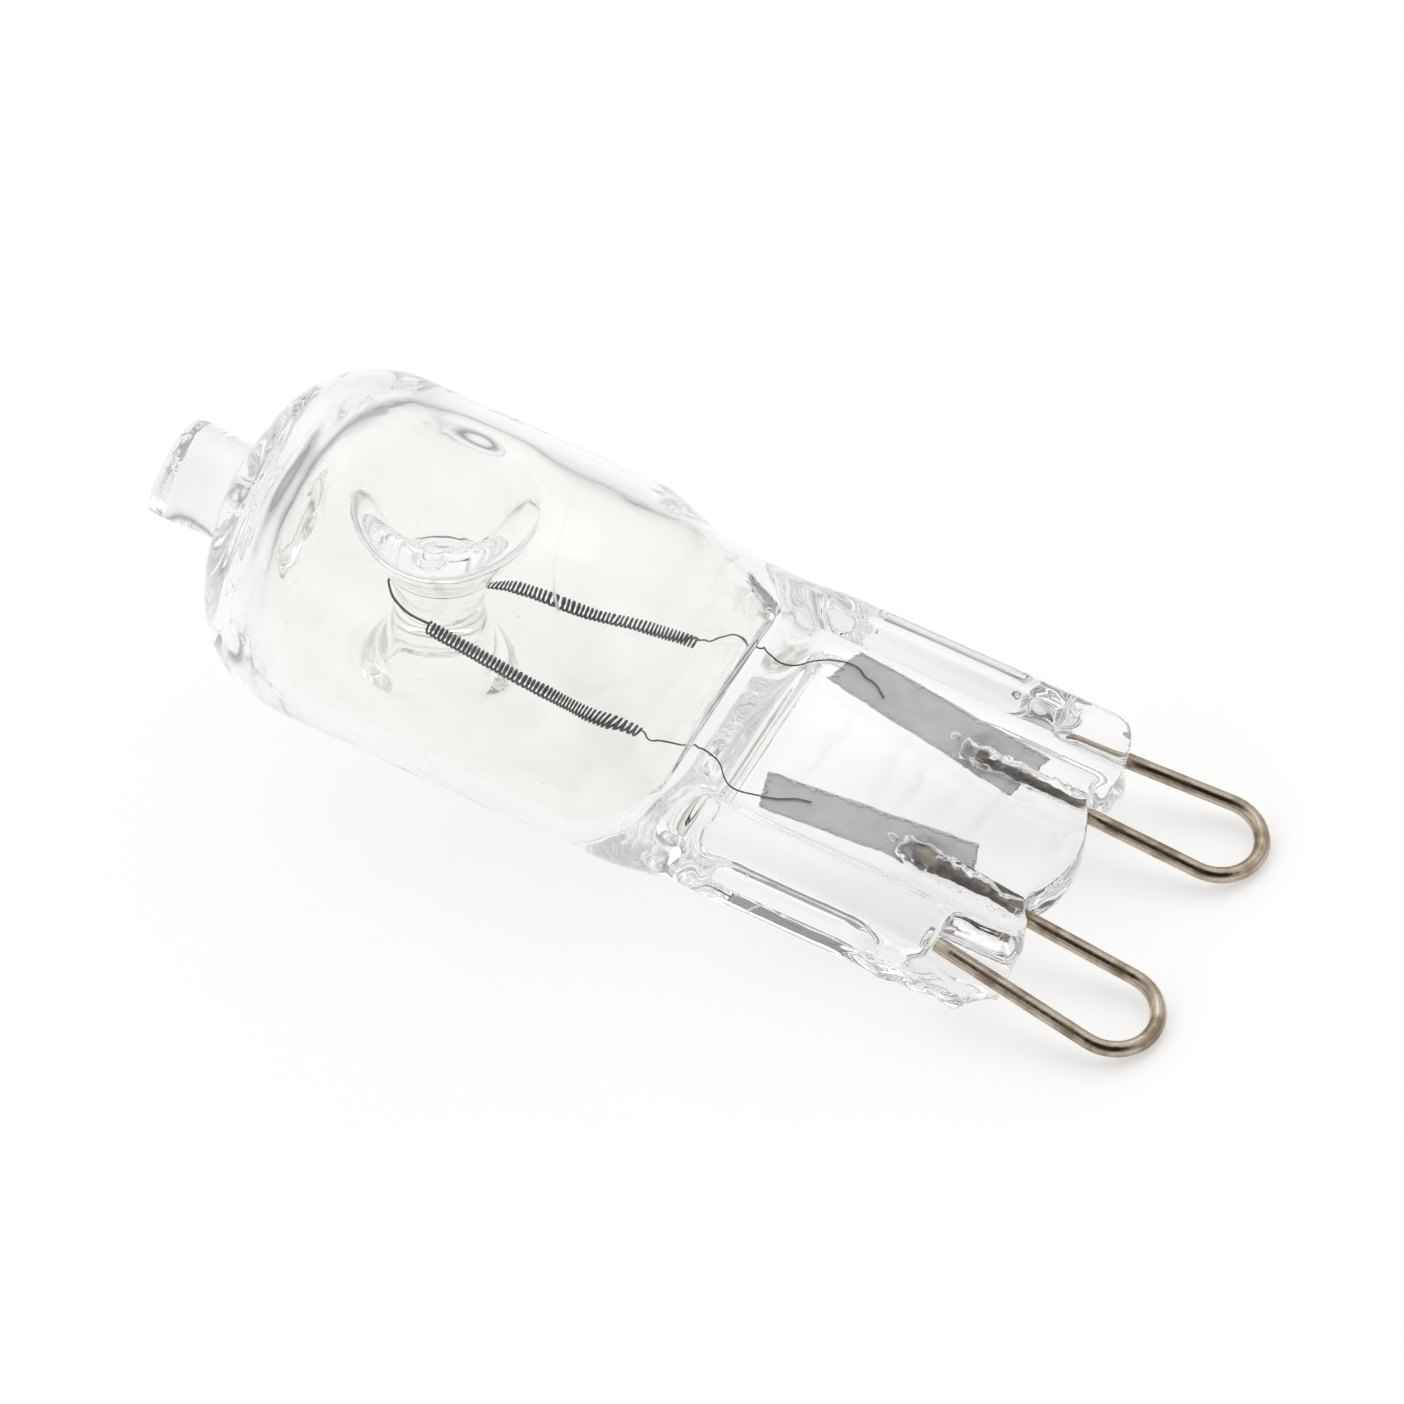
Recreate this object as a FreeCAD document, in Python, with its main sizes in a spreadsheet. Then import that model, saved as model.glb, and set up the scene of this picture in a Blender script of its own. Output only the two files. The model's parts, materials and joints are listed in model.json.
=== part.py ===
# Halogen capsule bulb with two wire pin loops, lying at rest.
# Every piece is drawn in the lamp's own frame: x runs from the sealed tip to the pin loops,
# y across the broad faces of the pinch seal, z through its thickness. Lengths are millimetres.
# One common placement then lays the lamp down to rest: the tube on one side, the pin end on the other.
import FreeCAD, Part
import math
import os
import Sketcher
from FreeCAD import Base

doc = FreeCAD.newDocument("halogen_capsule_bulb")
sheet = doc.addObject("Spreadsheet::Sheet", "sizes")

# Driving dimensions
DIMENSIONS = [
    ("bulb_diameter", 14.0, "outside of the quartz tube"),
    ("bulb_wall", 1.0, "wall of the quartz tube"),
    ("dome_wall", 1.9, "thicker wall where the dome closed on the exhaust tube"),
    ("stub_length", 3.1, "broken-off end of the exhaust tube"),
    ("stub_root_diameter", 4.0, "exhaust tube where it leaves the dome"),
    ("stub_rim_diameter", 4.5, "flared outer rim of the exhaust tube"),
    ("stub_root_fillet", 0.8, "hollow curve from the stub into the dome"),
    ("stub_chip_radius", 0.8, "chip in the stub's lower lip"),
    ("press_mark_length", 1.1, "oval dent at the end of the web"),
    ("stub_lean", 0.6, "how much shorter the cracked-off end is on top"),
    ("dome_corner_share", 0.62, "round corner of the dome, as a share of the tube's radius"),
    ("nipple_diameter", 1.5, "blind channel left by the exhaust tube, at the cavity"),
    ("nipple_depth", 1.8, "how far that channel reaches into the stub"),
    ("tube_end", 18.6, "tip to the end of the round tube"),
    ("post_position", 12.3, "tip to the axis of the dimpled post"),
    ("post_offset", -0.2, "post axis across the lamp"),
    ("post_neck_diameter", 3.4, "thinnest part of the hourglass post"),
    ("post_flare_radius", 9.0, "curve of the post's sides"),
    ("dimple_mouth_diameter", 4.1, "press mark below its soft rim"),
    ("dimple_lip_radius", 2.4, "soft rim of a press mark"),
    ("dimple_floor_diameter", 3.0, "round bottom of the press mark"),
    ("dimple_floor_height", 1.5, "lamp axis to the bottom of a press mark"),
    ("cavity_end", 24.0, "tip to the end of the gas space"),
    ("slot_width", 9.9, "gas space where the pinch closes it"),
    ("slot_height", 1.5, "gas space where the pinch closes it"),
    ("pinch_start", 26.4, "tip to the start of the flat pinch"),
    ("pinch_end", 38.9, "tip to the ends of the ribs"),
    ("pinch_width", 13.0, "across the two ribs"),
    ("neck_waist", 0.9, "how far the far side draws in before the rib"),
    ("near_rib_swell", 0.5, "how far the squeezed-out rib stands past the other one"),
    ("rib_thickness", 4.2, "through a rib"),
    ("rib_width", 1.4, "flat top of a rib"),
    ("rib_slope", 0.8, "sloping inner side of a rib"),
    ("rib_end_radius", 1.7, "round outer corner of a rib's end"),
    ("web_thickness", 2.3, "through the flat middle of the pinch"),
    ("web_end_bulge", 0.25, "how far the middle of the end bows out"),
    ("end_notch_depth", 0.55, "notch between rib and web at the end"),
    ("side_panel_length", 7.2, "long hollow in a rib's outer side"),
    ("side_panel_height", 2.3, "long hollow in a rib's outer side"),
    ("side_panel_depth", 0.55, "long hollow in a rib's outer side"),
    ("side_panel_setback", 0.7, "start of the pinch to the hollow"),
    ("groove_ceiling", 0.4, "extra height of the left groove over its leg"),
    ("leg_groove_width", 1.3, "open groove round a free leg"),
    ("leg_boss_diameter", 2.75, "raised glass over an embedded leg"),
    ("wire_diameter", 0.62, "pin loop wire"),
    ("pin_spacing", 9.0, "between the middles of the two loops"),
    ("bend_radius", 1.72, "centre line of a loop's bend"),
    ("bend_reach", 4.1, "rib ends to the centre of a loop's bend"),
    ("weld_setback", 5.2, "rib ends back to the welded end of a loop"),
    ("loop_droop", 3.5, "degrees that the loops lean down from the seal"),
    ("left_weld_offset", 2.8, "lamp axis to the welded end, left loop"),
    ("right_weld_offset", 2.35, "lamp axis to the welded end, right loop"),
    ("leg_exit_offset", 2.85, "lamp axis to an embedded leg at the end of the pinch"),
    ("weld_flat", 0.06, "how deep a leg is pressed flat on its foil"),
    ("free_leg_setback", 2.8, "rib ends back to the cut end of a loop"),
    ("left_free_leg_offset", 5.6, "lamp axis to the cut end, left loop"),
    ("right_free_leg_offset", 5.35, "lamp axis to the cut end, right loop"),
    ("foil_setback", 0.9, "start of the pinch to the foils"),
    ("foil_length", 8.6, "both foils, along the lamp"),
    ("foil_thickness", 0.05, "molybdenum foil"),
    ("left_foil_width", 2.1, "across the left foil"),
    ("right_foil_width", 1.75, "across the right foil"),
    ("left_foil_slant", 0.6, "how skew the left foil's ends are cut"),
    ("right_foil_slant", -0.5, "how skew the right foil's ends are cut"),
    ("left_foil_inner_offset", 4.25, "lamp axis to the left foil's middle, bulb end"),
    ("left_foil_outer_offset", 2.75, "lamp axis to the left foil's middle, pin end"),
    ("right_foil_inner_offset", 2.6, "lamp axis to the right foil's middle, bulb end"),
    ("right_foil_outer_offset", 1.7, "lamp axis to the right foil's middle, pin end"),
    ("filament_wire", 0.1, "tungsten wire"),
    ("coil_diameter", 0.56, "outside of a filament coil"),
    ("coil_turns", 14, "turns in each coil, wider apart than the real ones"),
    ("coil_outer_end", 22.0, "tip to the pinch end of the coils"),
    ("left_coil_start", 13.5, "tip to the post end of the left coil"),
    ("right_coil_start", 12.6, "tip to the post end of the right coil"),
    ("left_coil_inner_offset", 1.3, "lamp axis to the left coil, post end"),
    ("right_coil_inner_offset", 2.05, "lamp axis to the right coil, post end"),
    ("right_coil_lift", 0.25, "how much higher the right coil starts"),
    ("coil_outer_offset", 2.4, "lamp axis to a coil, pinch end"),
    ("tail_on_foil", 1.9, "filament tail welded along a foil"),
    ("tail_clearance", 0.02, "glass film between a tail and its foil"),
    ("tail_slack", 0.4, "how far the tails bow sideways on their way to the foils"),
    ("filament_bend", 0.3, "bends in the plain filament wire"),
    ("bridge_clearance", 0.06, "between the post's neck and the wire round it"),
]


class Size:
    """A length that knows both its number and the sheet expression behind it."""

    def __init__(self, value, text):
        self.value = float(value)
        self.text = text

    @staticmethod
    def of(other):
        return other if isinstance(other, Size) else Size(other, repr(float(other)))

    def join(self, other, sign, value):
        return Size(value, "(" + self.text + " " + sign + " " + other.text + ")")

    def __add__(self, other):
        other = Size.of(other)
        return self.join(other, "+", self.value + other.value)

    def __sub__(self, other):
        other = Size.of(other)
        return self.join(other, "-", self.value - other.value)

    def __mul__(self, other):
        other = Size.of(other)
        return self.join(other, "*", self.value * other.value)

    def __truediv__(self, other):
        other = Size.of(other)
        return self.join(other, "/", self.value / other.value)

    def __neg__(self):
        return self * -1.0


def fill_sheet():
    """Writes each driving dimension, its name and its meaning on a row of the sheet."""
    for row, (name, value, meaning) in enumerate(DIMENSIONS, start=1):
        sheet.set("A%d" % row, str(value))
        sheet.setAlias("A%d" % row, name)
        sheet.set("B%d" % row, meaning)
    doc.recompute()


def size(name):
    return Size(getattr(sheet, name), "sizes." + name)


def bind(thing, prop, length):
    """Sets a property and ties it to the sheet."""
    length = Size.of(length)
    thing.setExpression(prop, length.text)


fill_sheet()

# Shared sizes, worked out once
bulb_radius = size("bulb_diameter") / 2
cavity_radius = bulb_radius - size("bulb_wall")
half_rib = size("rib_thickness") / 2
half_web = size("web_thickness") / 2
half_pinch = size("pinch_width") / 2
near_side = half_pinch + size("near_rib_swell")
wire_radius = size("wire_diameter") / 2
dome_corner = bulb_radius * size("dome_corner_share")
dome_end = size("stub_length") + size("stub_root_fillet") * 1.1 + dome_corner * 0.985
bend_position = size("pinch_end") + size("bend_reach")
weld_position = size("pinch_end") - size("weld_setback")
free_leg_start = size("pinch_end") - size("free_leg_setback")
foil_start = size("pinch_start") + size("foil_setback")
foil_end = foil_start + size("foil_length")
foil_top = size("weld_flat") - wire_radius
foil_middle = foil_top - size("foil_thickness") / 2
tail_level = foil_top + size("filament_wire") / 2 + size("tail_clearance")
coil_radius = (size("coil_diameter") - size("filament_wire")) / 2
MARGIN = 1.0
# A stretch of the glass starts this far inside the one before, so that their skins never coincide.
SEAM = 0.02
LAP = 0.6


# Drawing helpers
def fix_point(sketch, edge, end, x, y):
    """Ties one end of an edge to its place, on an axis where the place is zero."""
    for axis, kind, length in ((-2, "DistanceX", x), (-1, "DistanceY", y)):
        length = Size.of(length)
        if length.text == "0.0":
            sketch.addConstraint(Sketcher.Constraint("PointOnObject", edge, end, axis))
            continue
        number = sketch.addConstraint(Sketcher.Constraint(kind, -1, 1, edge, end, length.value))
        sketch.setExpression("Constraints[%d]" % number, length.text)


def arc_geometry(start, finish, radius, turn):
    """An arc from start to finish: turn +1 is anticlockwise, -1 clockwise."""
    chord = finish - start
    middle = (start + finish) * 0.5
    rise = math.sqrt(max(radius ** 2 - (chord.Length / 2) ** 2, 0.0))
    normal = Base.Vector(-chord.y, chord.x, 0) * (1.0 / chord.Length)
    centre = middle + normal * (rise * turn)
    first, last = (start, finish) if turn > 0 else (finish, start)
    begin = math.atan2(first.y - centre.y, first.x - centre.x)
    end = math.atan2(last.y - centre.y, last.x - centre.x)
    if end <= begin:
        end += 2 * math.pi
    return Part.ArcOfCircle(Part.Circle(centre, Base.Vector(0, 0, 1), radius), begin, end)


def trace(sketch, steps):
    """Closed outline: a step is (x, y) for a line there, (x, y, radius, turn) for an arc there,
    or (x, y, "round") for an anticlockwise half circle there."""
    points = [Base.Vector(Size.of(step[0]).value, Size.of(step[1]).value, 0) for step in steps]
    ends = []
    for index, step in enumerate(steps):
        start, finish = points[index - 1], points[index]
        if len(step) == 2:
            edge = sketch.addGeometry(Part.LineSegment(start, finish), False)
            ends.append((edge, 1, 2))
            continue
        if step[2] == "round":
            edge = sketch.addGeometry(arc_geometry(start, finish, (finish - start).Length / 2, 1), False)
            sketch.addConstraint(Sketcher.Constraint("Symmetric", edge, 1, edge, 2, edge, 3))
            ends.append((edge, 1, 2))
            continue
        radius, turn = Size.of(step[2]), step[3]
        edge = sketch.addGeometry(arc_geometry(start, finish, radius.value, turn), False)
        ends.append((edge, 1, 2) if turn > 0 else (edge, 2, 1))
        number = sketch.addConstraint(Sketcher.Constraint("Radius", edge, radius.value))
        sketch.setExpression("Constraints[%d]" % number, radius.text)
    for index, step in enumerate(steps):
        edge, _, finish = ends[index]
        following, begin, _ = ends[(index + 1) % len(ends)]
        sketch.addConstraint(Sketcher.Constraint("Coincident", edge, finish, following, begin))
        fix_point(sketch, edge, finish, step[0], step[1])


def free_sketch(name, steps, placement=None):
    sketch = doc.addObject("Sketcher::SketchObject", name)
    trace(sketch, steps)
    if placement:
        sketch.Placement = placement
    return sketch


def revolved(name, steps, axis=(1, 0, 0), place=None):
    """Solid of revolution of an outline, about the lamp axis unless another is given."""
    turned = doc.addObject("Part::Revolution", name)
    turned.Source = free_sketch(name + "_profile", steps, place)
    turned.Axis = Base.Vector(*axis)
    turned.Base = Base.Vector(0, 0, 0)
    turned.Angle = 360
    turned.Solid = True
    return turned


def extruded(name, steps, length, direction=(0, 0, 1), place=None):
    """Outline drawn out to both sides of its plane, by the given length in all."""
    block = doc.addObject("Part::Extrusion", name)
    block.Base = free_sketch(name + "_profile", steps, place)
    block.DirMode = "Custom"
    block.Dir = Base.Vector(*direction)
    bind(block, "LengthFwd", length)
    block.Solid = True
    block.Symmetric = True
    return block


def combined(kind, name, parts):
    """Part::MultiFuse or Part::MultiCommon of several solids."""
    whole = doc.addObject(kind, name)
    whole.Shapes = parts
    return whole


def cut(name, solid, tool):
    rest = doc.addObject("Part::Cut", name)
    rest.Base = solid
    rest.Tool = tool
    return rest


def standing(x=0.0, y=0.0, z=0.0):
    """Plane of a sketch whose x runs along the lamp and whose y runs through its thickness."""
    return Base.Placement(Base.Vector(x, y, z), Base.Rotation(Base.Vector(1, 0, 0), 90))


# Glass: the blown bulb
def blown_outside():
    """Stub, dome and tube, turned about the lamp axis."""
    rim = size("stub_rim_diameter") / 2
    root = size("stub_root_diameter") / 2
    fillet = size("stub_root_fillet")
    rim_round = size("stub_rim_diameter") * 0.07
    # The fillet and the dome each turn through 80 degrees, with a short cone between them.
    sine, cosine = math.sin(math.radians(80)), math.cos(math.radians(80))
    dome_start = dome_end - dome_corner * sine
    dome_start_radius = bulb_radius - dome_corner * (1 - cosine)
    return revolved("blown_outside", [
        (0, 0),
        (0, rim - rim_round),
        (rim_round, rim, rim_round, -1),
        (size("stub_length") * 0.6, root),
        (size("stub_length"), root),
        (size("stub_length") + fillet * sine, root + fillet * (1 - cosine), fillet, 1),
        (dome_start, dome_start_radius),
        (dome_end, bulb_radius, dome_corner, -1),
        (size("tube_end"), bulb_radius),
        (size("tube_end"), 0),
    ])


def section(name, x, half_width, half_height, exponent, shift=0.0):
    """Closed curve |y/a|^n + |z/b|^n = 1 across the lamp: a circle at n = 2, a soft oblong above it."""
    count = 32
    points = []
    for step in range(count):
        angle = 2 * math.pi * (step + 0.5) / count
        across, through = math.cos(angle), math.sin(angle)
        y = half_width * math.copysign(abs(across) ** (2.0 / exponent), across)
        z = half_height * math.copysign(abs(through) ** (2.0 / exponent), through)
        points.append(Base.Vector(x, y + shift, z))
    curve = Part.BSplineCurve()
    curve.interpolate(Points=points, PeriodicFlag=True)
    ring = doc.addObject("Part::Feature", name)
    ring.Shape = Part.Wire([curve.toShape()])
    return ring


def ease(share):
    """Goes from 0 to 1 with level ends."""
    return share * share * (3 - 2 * share)


def lofted(name, sections):
    loft = doc.addObject("Part::Loft", name)
    loft.Sections = sections
    loft.Solid = True
    loft.Ruled = False
    return loft


PINCH_ROUNDNESS = 7.0
SLOT_ROUNDNESS = 3.0
SHOULDER_STEPS = 6
# The gas space keeps its height under an even wall, and closes over its last stretch.
CLOSING_SHARPNESS = 6
CAVITY_STEPS = 7


def outside_height(x, radius):
    """Half the height of the shoulder at a place along the lamp."""
    share = (x - sheet.tube_end) / (sheet.pinch_start - sheet.tube_end)
    return radius + (half_rib.value - radius) * ease(share)


def shoulder_outside():
    """Tube drawn down to the pinch: round at the tube, a soft oblong at the pinch."""
    begin, finish = sheet.tube_end, sheet.pinch_start
    radius = bulb_radius.value - SEAM
    rings = [section("shoulder_lap", begin - LAP, radius, radius, 2)]
    for step in range(SHOULDER_STEPS + 1):
        share = step / SHOULDER_STEPS
        eased = ease(share)
        width = radius + (half_pinch.value - radius) * eased
        height = outside_height(begin + (finish - begin) * share, radius)
        roundness = 2 + (PINCH_ROUNDNESS - 2) * eased ** 2
        waist = sheet.neck_waist * 16 * (share * (1 - share)) ** 2
        swell = sheet.near_rib_swell * eased
        rings.append(section("shoulder_ring_%d" % step, begin + (finish - begin) * share,
                             width + (swell - waist) / 2, height, roundness, -(swell + waist) / 2))
    return lofted("shoulder_outside", rings)


def shoulder_cavity():
    """Gas space narrowing from the round tube to a thin slot."""
    begin, finish = sheet.tube_end, sheet.cavity_end
    radius = cavity_radius.value - SEAM
    rings = [section("cavity_lap", begin - LAP, radius, radius, 2)]
    for step in range(CAVITY_STEPS + 1):
        share = math.sin(math.radians(90 * step / CAVITY_STEPS))
        place = begin + (finish - begin) * share
        closed = share ** CLOSING_SHARPNESS
        width = radius + (sheet.slot_width / 2 - radius) * share ** 2
        under_wall = outside_height(place, bulb_radius.value) - sheet.bulb_wall - SEAM
        height = under_wall + (sheet.slot_height / 2 - under_wall) * closed
        roundness = 2 + (SLOT_ROUNDNESS - 2) * ease(share)
        rings.append(section("cavity_ring_%d" % step, place, width, height, roundness))
    return lofted("shoulder_cavity", rings)


def blown_cavity():
    """Inside of dome and tube, with the blind nipple of the exhaust tube."""
    corner = dome_corner - size("bulb_wall")
    finish = dome_end + size("dome_wall") - size("bulb_wall")
    start = finish - corner
    nipple = size("nipple_diameter") / 2
    return revolved("blown_cavity", [
        (start - size("nipple_depth"), 0),
        (start - size("nipple_depth"), nipple / 3),
        (start, nipple),
        (start, cavity_radius - corner),
        (finish, cavity_radius, corner, -1),
        (size("tube_end"), cavity_radius),
        (size("tube_end"), 0),
    ])


def placed_at_post(turned):
    """Keeps a piece of the post on its axis when the post's place changes."""
    turned.setExpression("Placement.Base.x", "sizes.post_position")
    turned.setExpression("Placement.Base.y", "sizes.post_offset")
    return turned


def hourglass_post():
    """Two dimples meet in the middle of the bulb: a column with flaring ends."""
    neck = size("post_neck_diameter") / 2
    flare = size("post_flare_radius")
    reach = bulb_radius - size("bulb_wall") / 2
    # Half the chord over the flare's curve gives how far the foot spreads.
    spread = flare.value - math.sqrt(flare.value ** 2 - reach.value ** 2)
    spread_text = "(" + flare.text + " - sqrt(" + flare.text + "^2 - " + reach.text + "^2))"
    foot = neck + Size(spread, spread_text)
    column = revolved("post_column", [
        (0, -reach),
        (foot, -reach),
        (foot, reach, flare, -1),
        (0, reach),
    ], axis=(0, 0, 1), place=standing())
    return placed_at_post(column)


def dimples():
    """The two press marks, open to the outside, above and below the lamp axis."""
    mouth = size("dimple_mouth_diameter") / 2
    lip = size("dimple_lip_radius")
    floor = size("dimple_floor_diameter") / 2
    depth = size("dimple_floor_height")
    top = bulb_radius + MARGIN
    marks = []
    for name, side in (("dimple_above", 1.0), ("dimple_below", -1.0)):
        mark = revolved(name, [
            (0, depth * side),
            (floor, (depth + floor) * side, floor, side),
            (mouth, (bulb_radius - lip) * side, size("post_flare_radius"), side),
            (mouth + lip, bulb_radius * side, lip, -side),
            (mouth + lip, top * side),
            (0, top * side),
        ], axis=(0, 0, 1), place=standing())
        marks.append(placed_at_post(mark))
    return marks


def stub_break():
    """The exhaust tube was cracked off, and its end leans and has a chip."""
    rim = size("stub_rim_diameter") / 2
    lean = size("stub_lean")
    slice_off = extruded("stub_slice", [
        (-MARGIN, -rim),
        (0, -rim),
        (lean, rim),
        (lean * 1.2, rim + MARGIN),
        (-MARGIN, rim + MARGIN),
    ], rim * 4, direction=(0, 1, 0), place=standing())
    chip = doc.addObject("Part::Sphere", "stub_chip")
    bind(chip, "Radius", size("stub_chip_radius"))
    chip.setExpression("Placement.Base.x", (size("stub_chip_radius") * 0.3).text)
    chip.setExpression("Placement.Base.y", (-rim * 0.8).text)
    chip.setExpression("Placement.Base.z", (-rim * 0.75).text)
    return [slice_off, chip]


def press_mark():
    """Oval dent that the pinch jaws left at the end of the web."""
    dent = doc.addObject("Part::Ellipsoid", "press_mark")
    bind(dent, "Radius1", size("press_mark_length") * 0.1)
    bind(dent, "Radius2", size("press_mark_length") * 0.2)
    bind(dent, "Radius3", size("press_mark_length") / 2)
    dent.setExpression("Placement.Base.x", (size("pinch_end") - size("press_mark_length") * 0.1).text)
    dent.setExpression("Placement.Base.z", half_web.text)
    return dent


# Glass: the pinch seal
def pinch_plan():
    """Outline of the pinch seen from above: round rib ends, a bowed web end and two notches."""
    begin, finish = size("pinch_start") - LAP * 2, size("pinch_end")
    corner = size("rib_end_radius")
    notch = finish - size("end_notch_depth")
    lobe = size("leg_exit_offset") - wire_radius
    bulge = size("web_end_bulge") + size("end_notch_depth")
    lobe_radius = (lobe * lobe + bulge * bulge) / (bulge * 2)
    rib_inner = size("leg_exit_offset") + wire_radius * 2
    near_corner = corner + size("near_rib_swell")
    side = half_pinch
    return extruded("pinch_plan", [
        (begin, -near_side),
        (finish - near_corner, -near_side),
        (finish, near_corner - near_side, near_corner, 1),
        (finish, -rib_inner),
        (notch, -rib_inner + size("end_notch_depth")),
        (notch, -lobe),
        (notch, lobe, lobe_radius, 1),
        (notch, rib_inner - size("end_notch_depth")),
        (finish, rib_inner),
        (finish, side - corner),
        (finish - corner, side, corner, 1),
        (begin, side),
    ], size("rib_thickness") + 2 * MARGIN)


def pinch_block():
    """Pinch with its ribs at full thickness and its end shaped."""
    swell = sheet.near_rib_swell / 2
    profile = section("pinch_ring", sheet.pinch_start - LAP, half_pinch.value + swell - SEAM,
                      half_rib.value - SEAM, PINCH_ROUNDNESS, -swell)
    bar = doc.addObject("Part::Extrusion", "pinch_bar")
    bar.Base = profile
    bar.DirMode = "Custom"
    bar.Dir = Base.Vector(1, 0, 0)
    bind(bar, "LengthFwd", size("pinch_end") - size("pinch_start") + size("web_end_bulge") + MARGIN + LAP)
    bar.Solid = True
    return combined("Part::MultiCommon", "pinch_block", [bar, pinch_plan()])


def web_recess(name, side):
    """Sloping-sided hollow between the ribs, open at the pin end."""
    slope = size("rib_slope")
    outer = half_pinch - size("rib_width")
    lift = half_rib - half_web
    # The sides go on rising past the rib's top at the same slope.
    over = slope * (1 + MARGIN / lift.value)
    over = Size(over.value, "(" + slope.text + " * (1 + %r / " % MARGIN + lift.text + "))")
    wedge = doc.addObject("Part::Wedge", name)
    bind(wedge, "Xmin", size("pinch_start"))
    bind(wedge, "Xmax", size("pinch_end") + size("web_end_bulge") + MARGIN)
    bind(wedge, "X2min", size("pinch_start") - over)
    bind(wedge, "X2max", size("pinch_end") + size("web_end_bulge") + MARGIN)
    bind(wedge, "Zmin", -(outer - slope))
    bind(wedge, "Zmax", outer - slope)
    bind(wedge, "Z2min", -(outer - slope + over))
    bind(wedge, "Z2max", outer - slope + over)
    bind(wedge, "Ymin", half_web)
    bind(wedge, "Ymax", half_rib + MARGIN)
    # The wedge rises along its own y, which is turned to lie through the pinch.
    wedge.Placement = Base.Placement(Base.Vector(0, 0, 0), Base.Rotation(Base.Vector(1, 0, 0), 90 * side))
    return wedge


def leg_boss(name, side):
    """Raised glass that runs over an embedded leg to the end of the web."""
    boss = doc.addObject("Part::Cylinder", name)
    bind(boss, "Radius", size("leg_boss_diameter") / 2)
    bind(boss, "Height", size("pinch_end") - size("end_notch_depth") - weld_position)
    boss.Placement = Base.Placement(Base.Vector(0, 0, 0), Base.Rotation(Base.Vector(0, 1, 0), 90))
    boss.setExpression("Placement.Base.x", weld_position.text)
    boss.setExpression("Placement.Base.y", (size("leg_exit_offset") * side).text)
    return boss


def side_panel(name, place):
    """Long hollow with round ends, sunk in the outer side of a rib."""
    start = size("pinch_start") + size("side_panel_setback")
    radius = size("side_panel_height") / 2
    finish = start + size("side_panel_length")
    panel = extruded(name, [
        (start + radius, -radius, "round"),
        (finish - radius, -radius),
        (finish - radius, radius, "round"),
        (start + radius, radius),
    ], size("side_panel_depth") * 2, direction=(0, 1, 0), place=standing())
    panel.setExpression("Placement.Base.y", place.text)
    return panel


def leg_groove(name, side, inner, ceiling):
    """Open groove in a rib's outer side and end, in which the cut leg of a loop lies."""
    half = size("leg_groove_width") / 2
    start = free_leg_start - size("leg_groove_width") * 0.4
    floor = inner - wire_radius - half * 0.3
    groove = extruded(name, [
        (start + half, -half, "round"),
        (size("pinch_end") + MARGIN, -half),
        (size("pinch_end") + MARGIN, half + ceiling),
        (start + half * 1.6, half + ceiling),
        (start + half, half),
    ], (half_pinch + MARGIN - floor), direction=(0, 1, 0), place=standing())
    groove.setExpression("Placement.Base.y", ((half_pinch + MARGIN + floor) / 2 * side).text)
    return groove


# Metal pieces
def body_sketch(body, name, role, offset=None):
    """Sketch on one of a body's own planes."""
    plane = [item for item in body.Origin.OriginFeatures if item.Role == role][0]
    sketch = body.newObject("Sketcher::SketchObject", name)
    sketch.AttachmentSupport = [(plane, "")]
    sketch.MapMode = "FlatFace"
    if offset is not None:
        sketch.setExpression("AttachmentOffset.Base.z", offset.text)
    return sketch


def foil(name, side, inner, outer, width, slant):
    """Thin molybdenum strip that lies under the leg and carries the current through the seal."""
    body = doc.addObject("PartDesign::Body", name)
    sketch = body_sketch(body, name + "_outline", "XY_Plane", foil_middle)
    begin, finish = foil_start, foil_end
    trace(sketch, [
        (begin - slant / 2, inner * side - width / 2),
        (finish - slant / 2, outer * side - width / 2),
        (finish + slant / 2, outer * side + width / 2),
        (begin + slant / 2, inner * side + width / 2),
    ])
    pad = body.newObject("PartDesign::Pad", name + "_strip")
    pad.Profile = sketch
    bind(pad, "Length", size("foil_thickness"))
    pad.Midplane = True
    return body


def tangent_point(end, centre, radius, side):
    """Where the straight leg from a given end touches the round bend."""
    gap = centre - end
    turn = math.acos(radius / gap.Length)
    back = end - centre
    angle = math.atan2(back.y, back.x) + side * turn
    return centre + Base.Vector(math.cos(angle), math.sin(angle), 0) * radius


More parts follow.
